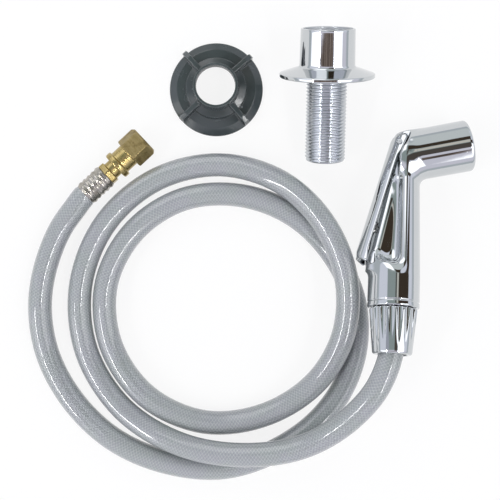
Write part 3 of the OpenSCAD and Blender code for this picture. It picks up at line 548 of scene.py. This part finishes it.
def fluted(r, z, around):
    down = (COUPLING_TOP - z) / COUPLING_LEN
    axis = FLUTE_AXIS - FLUTE_RISE * down
    spread = 2 * math.pi / FLUTES
    delta = (around + spread / 2) % spread - spread / 2
    reach = FLUTE_R ** 2 - (axis * np.sin(delta)) ** 2
    cut = np.where(reach > 0, axis * np.cos(delta) - np.sqrt(np.maximum(reach, 0)), NO_CUT)
    fluted_r = np.where(r > 10.65, smin(r, cut, 0.2), np.minimum(r, np.maximum(cut, r - 0.3)))
    return np.where(r > 8.5, fluted_r, r), z


nut_piece = turned_piece("fluted_coupling_nut", outside + inside, FLUTES * FLUTE_COLUMNS, HEAD, fluted)
dressed(nut_piece, "coupling_nut", "coupling_nut")

# ---------------------------------------------------------------- far-end fitting
FERRULE_RIBS = 5
RIB_ROWS = 12
FERRULE_END_R = 6.12
FERRULE_BORE_R = 5.95
crimp = [(FERRULE_END_R, 0.0)]
for i in range(FERRULE_RIBS * RIB_ROWS + 1):
    z = 0.25 + (FERRULE_LEN - 0.5) * i / (FERRULE_RIBS * RIB_ROWS)
    ridge = 0.5 - 0.5 * math.cos(2 * math.pi * i / RIB_ROWS)
    crimp.append((6.22 + 0.5 * ridge ** 0.8, z))
crimp += [(FERRULE_END_R, FERRULE_LEN), (FERRULE_BORE_R, FERRULE_LEN), (FERRULE_BORE_R, 0.0)]


def crimped(r, z, around):
    """The press's jaws leave each rib a little out of round, and not all alike."""
    rib = np.floor(z / FERRULE_LEN * FERRULE_RIBS)
    dent = 0.10 * np.cos(6 * around + 1.3 * rib) + 0.05 * np.cos(11 * around - 2.1 * rib + 0.7)
    return r + np.where(r > 6.2, dent - 0.05, 0), z


ferrule_piece = turned_piece("crimped_ferrule", crimp[::-1], 96, TAIL, crimped)
dressed(ferrule_piece, "hose_assembly", "crimp_ferrule")

HALF_ROOT_3 = 0.8660254
TAIL_HEX_ACROSS = 11.6
TAIL_BORE_R = 2
BARB_PITCH = 3.5
SWIVEL_HEX_ACROSS = 15.7
SWIVEL_CHAMFER = [(31.65, 8.35), (32.2, 9.0), (41.6, 9.0), (43.25, 7.45)]
SWIVEL_PITCH = 1.4
SWIVEL_THREAD_FROM = 31.9
HEX_SKIN_FROM = 31.9


def hexagon(x, y, across):
    slanted = np.maximum(np.abs(HALF_ROOT_3 * x + 0.5 * y), np.abs(HALF_ROOT_3 * x - 0.5 * y))
    return np.maximum(np.abs(y), slanted) - across / 2


def slab(z, middle, half):
    return np.abs(z - middle) - half


def tail_body(x, y, z):
    rho = np.hypot(x, y)
    barb = smax(rho - 3 - 0.35 * ((14.5 - z) / BARB_PITCH % 1) * (z < 14.6), slab(z, 8.6, 6.6), 0.3)
    base = smax(smax(hexagon(y, x, TAIL_HEX_ACROSS), rho - 6.4, 0.3), slab(z, 16.7, 1.65), 0.5)
    neck = smax(rho - 4.92, slab(z, 25, 7), 0.3)
    bead = smax(rho - 6.05, slab(z, 32.75, 0.95), 0.4)
    body = smin(smin(barb, base, 0.4), smin(neck, bead, 0.5), 0.6)
    return smax(body, -(rho - TAIL_BORE_R), 0.3)


def swivel_body(x, y, z):
    rho = np.hypot(x, y)
    collar = smax(rho - 7.8, slab(z, 23.45, 1.7), 1.1)
    skirt = smax(rho - 6.5, slab(z, 28.4, 4), 0.4)
    hexed = smax(hexagon(x, y, SWIVEL_HEX_ACROSS), rho - profile(z, SWIVEL_CHAMFER), 0.35)
    hexed = smax(hexed, slab(z, 37.45, 5.8), 0.4)
    body = smin(smin(collar, skirt, 0.5), hexed, 0.4)
    turn = (z / SWIVEL_PITCH - np.arctan2(y, x) / (2 * math.pi)) % 1
    thread = rho - 6.2 - 0.35 * np.abs(2 * turn - 1)
    hole = np.minimum(smax(rho - 5.0, slab(z, 32, 12), 0.2), smax(rho - 6.6, slab(z, 33.8, 1.8), 0.3))
    hole = np.minimum(hole, smax(thread, SWIVEL_THREAD_FROM - z, 0.3))
    return smax(body, -hole, 0.3)


tail_piece = cast_piece("tail_with_hex_base", tail_body, (
    grid(-7.2, 7.2, 0.36), grid(-7.2, 7.2, 0.36), grid(1.4, 34.6, 0.36)), TAIL)
dressed(tail_piece, "hose_assembly", "tailpiece")
swivel_piece = cast_piece("swivel_hex_nut", swivel_body, (
    grid(-9.8, 9.8, 0.36), grid(-9.8, 9.8, 0.36), grid(21, 44.2, 0.36)), TAIL)
dressed(swivel_piece, "swivel_nut", "swivel_nut")

# ---------------------------------------------------------------- hose guide
PITCH = 1.814
THREAD_FROM, THREAD_TO = -43.6, -1.8
THREAD_ROW_R = 10.3
THREAD_ROOT_R = 10.0
ROWS_PER_PITCH = 10
GUIDE_BORE_R = 9.3
FLANGE_R = 25
RIM_R = 0.8
CUP_R = 14.5
CUP_BORE_R = 12.8
outline = [(GUIDE_BORE_R, -44), (9.75, -44), (10.05, -43.85)]
thread_rows = int((THREAD_TO - THREAD_FROM) / PITCH * ROWS_PER_PITCH)
outline += [(THREAD_ROW_R, THREAD_FROM + (THREAD_TO - THREAD_FROM) * i / thread_rows)
            for i in range(thread_rows + 1)]
outline += [(10.0, -1.3), (10.0, -0.35), (10.3, -0.06), (10.7, 0), (FLANGE_R - RIM_R, 0)]
outline += [(FLANGE_R - RIM_R + RIM_R * math.sin(a), RIM_R - RIM_R * math.cos(a))
            for a in (math.radians(d) for d in range(20, 91, 14))]
outline += [(FLANGE_R - RIM_R + RIM_R * math.cos(a), 2 * RIM_R + RIM_R * math.sin(a))
            for a in (math.radians(d) for d in range(0, 71, 14))]
outline += [(23.6, 2.68), (20, 3.9), (16.4, 5.1), (15.3, 5.45), (14.8, 5.8), (14.55, 6.4), (CUP_R, 7.2)]
outline += [(CUP_R - 0.4 * (z - 7.2) / 17.8, z) for z in (10, 14, 18, 22, 23.6, 24.4)]
outline += [(14.02, 24.75), (13.85, 24.95), (13.6, 25.0), (13.1, 25.0), (12.9, 24.92), (CUP_BORE_R, 24.7),
            (CUP_BORE_R, 20), (CUP_BORE_R, 14), (CUP_BORE_R, 8), (12.75, 6.2), (12.5, 5.9), (12.2, 5.8),
            (9.7, 5.8), (9.4, 5.7), (GUIDE_BORE_R, 5.3), (GUIDE_BORE_R, -10), (GUIDE_BORE_R, -25),
            (GUIDE_BORE_R, -43.5)]


def threaded(r, z, around):
    """The shank's helical thread: flat-topped ridges that run in at the end and out at the neck."""
    turn = ((z - THREAD_FROM) / PITCH - around / (2 * math.pi)) % 1
    ridge = np.clip(1.25 - np.abs(2 * turn - 1) * 1.7, 0, 1)
    fade = np.clip((z - THREAD_FROM) / 0.8, 0, 1) * np.clip((THREAD_TO - z) / 0.8, 0, 1)
    on = (r == THREAD_ROW_R) & (z >= THREAD_FROM) & (z <= THREAD_TO)
    return np.where(on, THREAD_ROOT_R + 0.6 * ridge * fade + 0.05, r), z


guide_piece = turned_piece("chrome_hose_guide", outline, 144, GUIDE, threaded)
dressed(guide_piece, "hose_guide", "hose_guide")

# ---------------------------------------------------------------- mounting nut
NUT_OUTSIDE = [(0, 0), (25.4, 0), (25.4, 1.4), (21.4, 4.2), (16.6, 4.7), (16.2, 7.6), (12.5, 8.6),
               (12, 15.6), (0, 15.6)]
NUT_INSIDE = [(0, -1), (23.4, -1), (23.4, 0), (21, 2.2), (14.6, 2.6), (14.2, 5.6), (11.6, 8.2),
              (10.4, 10.6), (10.4, 17), (0, 17)]
WING = [(10.9, 3.2), (10.9, 11.6), (21.6, 10.6), (25, 9.5), (25.8, 7.4), (25, 1), (21.4, 0.6)]
NUT_THREAD_R = 10.4
NUT_PITCH = 2.2
NUT_THREAD_FROM = 10.6


def winged_nut(x, y, z):
    rho = np.hypot(x, y)
    bell = polygon_distance(rho, z, NUT_OUTSIDE)
    a, b = np.maximum(np.abs(x), np.abs(y)), np.minimum(np.abs(x), np.abs(y))
    wing = smax(polygon_distance(a, z, WING) + 0.2, b - 1.3 + 0.02 * (z - 4), 0.4) - 0.2
    body = smin(bell + 0.25, wing + 0.25, 0.5) - 0.25
    turn = ((z - NUT_THREAD_FROM) / NUT_PITCH - np.arctan2(y, x) / (2 * math.pi)) % 1
    bore = smax(rho - NUT_THREAD_R - 0.3 * np.abs(2 * turn - 1), slab(z, 13, 4), 0.3)
    return smax(body, -np.minimum(polygon_distance(rho, z, NUT_INSIDE), bore), 0.4)


winged_piece = cast_piece("winged_mounting_nut", winged_nut, (
    grid(-27, 27, 0.5), grid(-27, 27, 0.5), grid(-1.2, 17, 0.45)), NUT)
dressed(winged_piece, "mounting_nut", "mounting_nut")


# ---------------------------------------------------------------- materials
def material(name, color, metallic=0.0, roughness=0.4, coat=0.0, coat_roughness=0.03):
    mat = bpy.data.materials.new(name)
    mat.use_nodes = True
    bsdf = mat.node_tree.nodes["Principled BSDF"]
    bsdf.inputs["Base Color"].default_value = (*color, 1)
    bsdf.inputs["Metallic"].default_value = metallic
    bsdf.inputs["Roughness"].default_value = roughness
    bsdf.inputs["Coat Weight"].default_value = coat
    bsdf.inputs["Coat Roughness"].default_value = coat_roughness
    return mat


class Graph:
    """Short names for the nodes that the materials and the sky are made of."""

    def __init__(self, owner):
        self.tree = owner.node_tree

    def new(self, kind, sockets=(), **settings):
        n = self.tree.nodes.new("ShaderNode" + kind)
        for key, value in settings.items():
            setattr(n, key, value)
        for key, value in dict(sockets).items():
            self.put(value, n.inputs[key])
        return n

    def put(self, value, socket):
        if isinstance(value, bpy.types.NodeSocket):
            self.tree.links.new(value, socket)
        else:
            socket.default_value = value

    def math(self, op, a, b=0.0):
        return self.new("Math", {0: a, 1: b}, operation=op).outputs[0]

    def ramp(self, value, low, high, to_low=0.0, to_high=1.0):
        n = self.new("MapRange", {"Value": value, "From Min": low, "From Max": high,
                                  "To Min": to_low, "To Max": to_high}, interpolation_type="SMOOTHSTEP")
        return n.outputs["Result"]

    def mix(self, factor, a, b):
        n = self.new("Mix", data_type="RGBA")
        self.put(factor, n.inputs["Factor"])
        for key, value in (("A", a), ("B", b)):
            socket = next(s for s in n.inputs if s.name == key and s.type == "RGBA")
            self.put(value if isinstance(value, bpy.types.NodeSocket) else (*value, 1), socket)
        return next(s for s in n.outputs if s.type == "RGBA")

    def noise(self, where, scale, detail=2.0, roughness=0.5):
        n = self.new("TexNoise", {"Vector": where, "Scale": scale, "Detail": detail, "Roughness": roughness})
        return n.outputs["Fac"]

    def bump(self, height, strength, distance):
        n = self.new("Bump", {"Height": height, "Strength": strength, "Distance": distance})
        return n.outputs["Normal"]

    def stretched(self, place, x, y, z):
        """Coordinates in a piece's own millimetres, each axis times its factor."""
        n = self.new("TexCoord").outputs["Object"]
        inverse = place.inverted()
        rows = []
        for row, factor in zip(inverse, (x, y, z)):
            weights = tuple(factor * row[k] for k in range(3))
            dot = self.new("VectorMath", {0: n, 1: weights}, operation="DOT_PRODUCT")
            rows.append(self.math("ADD", dot.outputs["Value"], factor * row[3]))
        return self.new("CombineXYZ", {"X": rows[0], "Y": rows[1], "Z": rows[2]}).outputs["Vector"]


def shader(mat):
    return mat.node_tree.nodes["Principled BSDF"]


def plated(name, low, high, rough_low, rough_high, wave=0.03):
    """Bright plating or polished metal: faint waviness, wiping marks and a few dull spots."""
    mat = material(name, low, 1.0)
    g = Graph(mat)
    where = g.new("TexCoord").outputs["Object"]
    broad = g.noise(where, 90, 3)
    fine = g.noise(where, 1400, 2)
    spots = g.ramp(g.noise(where, 420, 4, 0.65), 0.60, 0.74)
    g.put(g.mix(g.math("ADD", g.math("MULTIPLY", broad, 0.7), g.math("MULTIPLY", fine, 0.3)), low, high),
          shader(mat).inputs["Base Color"])
    rough = g.math("ADD", g.ramp(broad, 0.3, 0.7, rough_low, rough_high), g.math("MULTIPLY", spots, 0.05))
    g.put(rough, shader(mat).inputs["Roughness"])
    g.put(g.bump(broad, wave, 0.0006), shader(mat).inputs["Normal"])
    return mat


def turned_metal(name, low, high, rough, place, marks=9.0, depth=0.12, tarnish=None):
    """Machined metal: fine rings left by the tool round the piece's axis, and dull patches."""
    mat = material(name, low, 1.0)
    g = Graph(mat)
    rings = g.noise(g.stretched(place, 0.12, 0.12, marks), 1.0, 3, 0.6)
    patches = g.noise(g.new("TexCoord").outputs["Object"], 260, 4, 0.6)
    color = g.mix(g.ramp(rings, 0.3, 0.7), low, high)
    if tarnish:
        color = g.mix(g.ramp(patches, 0.48, 0.68), color, tarnish)
    g.put(color, shader(mat).inputs["Base Color"])
    g.put(g.math("ADD", g.ramp(rings, 0.25, 0.75, rough * 0.8, rough * 1.25),
                 g.math("MULTIPLY", g.ramp(patches, 0.45, 0.7), 0.10)), shader(mat).inputs["Roughness"])
    g.put(g.bump(rings, depth, 0.0002), shader(mat).inputs["Normal"])
    return mat


def moulded(name, low, high, rough, grain=900, depth=0.08, coat=0.0, edge=None):
    """Moulded plastic or rubber: fine grain, the slow tones of flow marks, and, when an edge colour is given, a
    painted highlight in that colour along convex edges.
    """
    mat = material(name, low, 0.0, rough, coat, 0.15)
    g = Graph(mat)
    where = g.new("TexCoord").outputs["Object"]
    flow = g.noise(where, 120, 3, 0.6)
    fine = g.noise(where, grain, 3, 0.6)
    color = g.mix(g.math("ADD", g.math("MULTIPLY", flow, 0.75), g.math("MULTIPLY", fine, 0.25)), low, high)
    if edge:
        # painted highlight: convex edges take the edge colour, patchy along the flow marks
        edge_highlight = g.ramp(g.new("NewGeometry").outputs["Pointiness"], 0.53, 0.60)
        color = g.mix(g.math("MULTIPLY", edge_highlight, g.ramp(flow, 0.35, 0.55, 0.4, 0.9)), color, edge)
    g.put(color, shader(mat).inputs["Base Color"])
    g.put(g.ramp(flow, 0.3, 0.7, rough * 0.85, rough * 1.15), shader(mat).inputs["Roughness"])
    g.put(g.bump(fine, depth, 0.0003), shader(mat).inputs["Normal"])
    return mat


BRAID_THREADS = 16
BRAID_SPACING = 1.75


def braided_hose():
    """Clear PVC over a braid: two sets of threads wound opposite ways, seen through a soft gloss."""
    mat = material("braided_pvc", (0.34, 0.37, 0.38), 0.0, 0.5, 1.0, 0.07)
    g = Graph(mat)
    uv = g.new("UVMap", uv_map="along").outputs["UV"]
    xyz = g.new("SeparateXYZ", {"Vector": uv})
    around = g.math("MULTIPLY", xyz.outputs["X"], BRAID_THREADS)
    along = g.math("DIVIDE", xyz.outputs["Y"], BRAID_SPACING)
    threads = []
    for op in ("ADD", "SUBTRACT"):
        phase = g.math("FRACT", g.math(op, around, along))
        threads.append(g.ramp(g.math("ABSOLUTE", g.math("SUBTRACT", phase, 0.5)), 0.04, 0.22, 1.0, 0.0))
    lattice = g.math("MAXIMUM", threads[0], threads[1])
    crossing = g.math("MULTIPLY", threads[0], threads[1])
    where = g.new("TexCoord").outputs["Object"]
    cloud = g.noise(where, 70, 3, 0.6)
    speck = g.noise(where, 1500, 2, 0.6)
    ground = g.mix(g.ramp(cloud, 0.35, 0.65), (0.258, 0.285, 0.281), (0.270, 0.279, 0.304))
    thread = g.mix(g.ramp(speck, 0.35, 0.65), (0.31, 0.335, 0.335), (0.425, 0.448, 0.457))
    color = g.mix(g.math("MULTIPLY", lattice, 0.75), ground, thread)
    color = g.mix(g.math("MULTIPLY", crossing, 0.3), color, (0.56, 0.59, 0.60))
    g.put(color, shader(mat).inputs["Base Color"])
    height = g.math("ADD", lattice, g.math("MULTIPLY", speck, 0.3))
    g.put(g.bump(height, 0.5, 0.0002), shader(mat).inputs["Normal"])
    g.put(g.ramp(speck, 0.3, 0.7, 0.42, 0.58), shader(mat).inputs["Roughness"])
    shader(mat).inputs["Coat IOR"].default_value = 1.7
    return mat


CHROME = plated("chrome_plate", (0.56, 0.585, 0.60), (0.61, 0.625, 0.64), 0.03, 0.06)
STEEL = plated("bright_steel", (0.46, 0.45, 0.42), (0.56, 0.55, 0.52), 0.20, 0.28, 0.10)
FERRULE = turned_metal("tinned_steel", (0.36, 0.34, 0.30), (0.50, 0.475, 0.435), 0.20, TAIL, 2.0, 0.25,
                       (0.28, 0.26, 0.22))
BRASS = turned_metal("machined_brass", (0.37, 0.285, 0.11), (0.52, 0.415, 0.19), 0.22, TAIL, 7.0, 0.15,
                     (0.36, 0.27, 0.10))
HEX_BRASS = turned_metal("drawn_hex_brass", (0.31, 0.24, 0.10), (0.40, 0.32, 0.155), 0.46, TAIL, 1.2, 0.15,
                         (0.22, 0.165, 0.07))
THREAD = plated("plated_thread", (0.50, 0.525, 0.56), (0.58, 0.60, 0.63), 0.16, 0.24, 0.05)
SATIN = plated("satin_plate", (0.70, 0.72, 0.74), (0.76, 0.78, 0.80), 0.42, 0.52, 0.05)
HOSE_MAT = braided_hose()
RUBBER = moulded("rubber", (0.012, 0.012, 0.012), (0.03, 0.03, 0.03), 0.6)
# the last colour is a painted highlight along the mounting nut's convex edges
BLACK = moulded("black_plastic", (0.022, 0.032, 0.033), (0.040, 0.052, 0.054), 0.24, 700, 0.06, 0.7,
                (0.20, 0.23, 0.235))
GREY = moulded("grey_plastic", (0.06, 0.06, 0.065), (0.10, 0.10, 0.105), 0.4)
WHITE = moulded("white_plastic", (0.68, 0.68, 0.65), (0.78, 0.78, 0.76), 0.35)
BY_SLOT = {"chrome": CHROME, "steel": STEEL, "brass": BRASS, "hose": HOSE_MAT, "rubber": RUBBER,
           "black_plastic": BLACK, "grey_plastic": GREY, "white_plastic": WHITE}
for sub in frame["record"]["subparts"]:
    part = NODES[sub["node"]]
    part.data.materials.clear()
    part.data.materials.append(BY_SLOT[sub["material_slot"]])
for piece, mat in ((head_piece, CHROME), (lever_piece, CHROME), (nut_piece, CHROME), (guide_piece, CHROME),
                   (ferrule_piece, FERRULE), (tail_piece, BRASS), (swivel_piece, BRASS),
                   (winged_piece, BLACK), (hose, HOSE_MAT)):
    piece.data.materials.append(mat)
NODES["lever_pin"].data.materials[0] = SATIN
# the cup is satin inside, and the plating on the thread is duller than on the rest
guide_piece.data.materials.append(SATIN)
guide_piece.data.materials.append(THREAD)
to_guide = GUIDE.inverted()
for face in guide_piece.data.polygons:
    at = to_guide @ face.center
    if at.z > 5 and math.hypot(at.x, at.y) < CUP_BORE_R + 0.15:
        face.material_index = 1
    elif at.z < -1:
        face.material_index = 2
# the swivel nut's hexagon keeps the dull skin of the drawn bar; its skirt is turned
swivel_piece.data.materials.append(HEX_BRASS)
hex_from = TAIL_OUT + TAIL_DIR * HEX_SKIN_FROM * MM
for face in swivel_piece.data.polygons:
    if (face.center - hex_from).dot(TAIL_DIR) > 0:
        face.material_index = 1

# ---------------------------------------------------------------- floor and light
FLOOR_REACH = 3
FLOOR_GAP = 0.5 * MM
FLOOR_GREY = 0.86
FLOOR_GLOW = 0.86
floor = new_object("floor", [(FLOOR_REACH * x, FLOOR_REACH * y, 0)
                             for x, y in ((-1, -1), (1, -1), (1, 1), (-1, 1))], [(0, 1, 2, 3)])
floor.location.z = -FLOOR_GAP
FLOOR = material("floor_white", (FLOOR_GREY, FLOOR_GREY, FLOOR_GREY), 0.0, 0.9)
floor.data.materials.append(FLOOR)
g = Graph(FLOOR)
light = g.new("LightPath").outputs
seen = g.math("MAXIMUM", g.math("MAXIMUM", light["Is Camera Ray"], light["Is Glossy Ray"]),
              light["Is Transmission Ray"])
glow = g.new("Emission", {"Color": (1, 1, 1, 1), "Strength": 1.0})
both = g.new("MixShader", {"Fac": g.math("MULTIPLY", seen, FLOOR_GLOW)})
g.tree.links.new(shader(FLOOR).outputs["BSDF"], both.inputs[1])
g.tree.links.new(glow.outputs["Emission"], both.inputs[2])
g.tree.links.new(both.outputs["Shader"], g.tree.nodes["Material Output"].inputs["Surface"])

# The studio, as the chrome shows it: each panel is a patch of the sky, given by its range of
# each of the direction's x, y and z, and by how soft its edges are.
world = bpy.data.worlds.new("studio")
bpy.context.scene.world = world
world.use_nodes = True
g = Graph(world)
direction = g.new("SeparateXYZ", {"Vector": g.new("TexCoord").outputs["Generated"]}).outputs
SKY_AXES = (direction["X"], direction["Y"], direction["Z"])
ALL = (-2, 2)
GREY_SKY = (0.36, 0.42, 0.41)
LIGHT_GREY = (0.74, 0.78, 0.78)
MID = (0.84, 0.82, 0.92)
HORIZON = (0.58, 0.62, 0.65)
LAVENDER = (0.90, 0.92, 1.02)
DIM_LAVENDER = (0.46, 0.48, 0.55)
PALE = (0.75, 0.71, 0.64)
SOFTBOX = (1.85, 1.85, 1.9)
STRIP_LIGHT = (40, 40, 40)
DARK = (0.10, 0.085, 0.075)
ROOM = (0.060, 0.044, 0.032)
PANELS = [
    # the far wall, pale at the top, and the near ceiling
    (LIGHT_GREY, ALL, (0.62, 2), ALL, 0.03),
    (MID, ALL, (-2, 0), ALL, 0.05),
    # walls to the left and the right
    (LAVENDER, (-2, -0.57), ALL, ALL, 0.03),
    (DIM_LAVENDER, (-0.70, -0.46), (0.05, 0.22), ALL, 0.03),
    (LAVENDER, (0.30, 2), (-0.1, 2), (-2, 0.47), 0.02),
    # a window high on the far left
    (SOFTBOX, (-0.62, -0.08), (0.46, 0.97), (0.1, 2), 0.04),
    # softboxes to the near left and right, each with a bright strip
    (SOFTBOX, (-2, -0.59), (-2, -0.12), (0.22, 2), 0.03),
    (SOFTBOX, (0.36, 2), (-2, -0.10), (0.48, 2), 0.02),
    (SOFTBOX, (0.38, 2), (-0.2, 0.165), (0.48, 2), 0.02),
    (STRIP_LIGHT, (0.41, 0.432), (-0.52, -0.06), (0.3, 2), 0.006),
    (STRIP_LIGHT, (-0.621, -0.599), (-0.56, -0.06), (0.3, 2), 0.006),
    (LAVENDER, (0.36, 2), (0.38, 0.62), (0.3, 2), 0.03),
    (ROOM, (0.02, 0.36), (0.42, 0.62), (0.45, 2), 0.012),
    (ROOM, (0.23, 2), (0.185, 0.40), (0.47, 2), 0.015),
    (PALE, (0.12, 0.21), (0.24, 0.40), ALL, 0.012),
    (DARK, (0.00, 0.08), (0.24, 0.40), ALL, 0.012),
    (DARK, (0.06, 0.33), (-0.16, 0.20), ALL, 0.02),
]


def window(value, low, high, soft):
    """1 between low and high, and 0 outside, with soft edges."""
    return g.math("MULTIPLY", g.ramp(value, low - soft, low + soft), g.ramp(value, high + soft, high - soft))


def patch(ranges, soft):
    limits = [window(axis, *r, soft) for axis, r in zip(SKY_AXES, ranges) if r != ALL]
    total = limits[0]
    for limit in limits[1:]:
        total = g.math("MULTIPLY", total, limit)
    return total


sky = GREY_SKY
for color, *ranges, soft in PANELS:
    sky = g.mix(patch(ranges, soft), sky, color)
# the gap between the softboxes, with things standing in it
gap_x = g.new("CombineXYZ", {"X": g.math("MULTIPLY", direction["X"], 16.0)}).outputs["Vector"]
clutter = g.mix(g.ramp(g.noise(gap_x, 1.0, 1), 0.42, 0.62), (0.10, 0.075, 0.065), (0.34, 0.27, 0.23))
sky = g.mix(patch(((-0.58, 0.32), (-0.48, -0.32), ALL), 0.02), sky, clutter)
sky = g.mix(g.ramp(direction["Z"], 0.24, 0.14), sky, HORIZON)
g.tree.links.new(sky, g.tree.nodes["Background"].inputs["Color"])
g.tree.nodes["Background"].inputs["Strength"].default_value = 1.0

bpy.context.scene.view_settings.view_transform = "Standard"
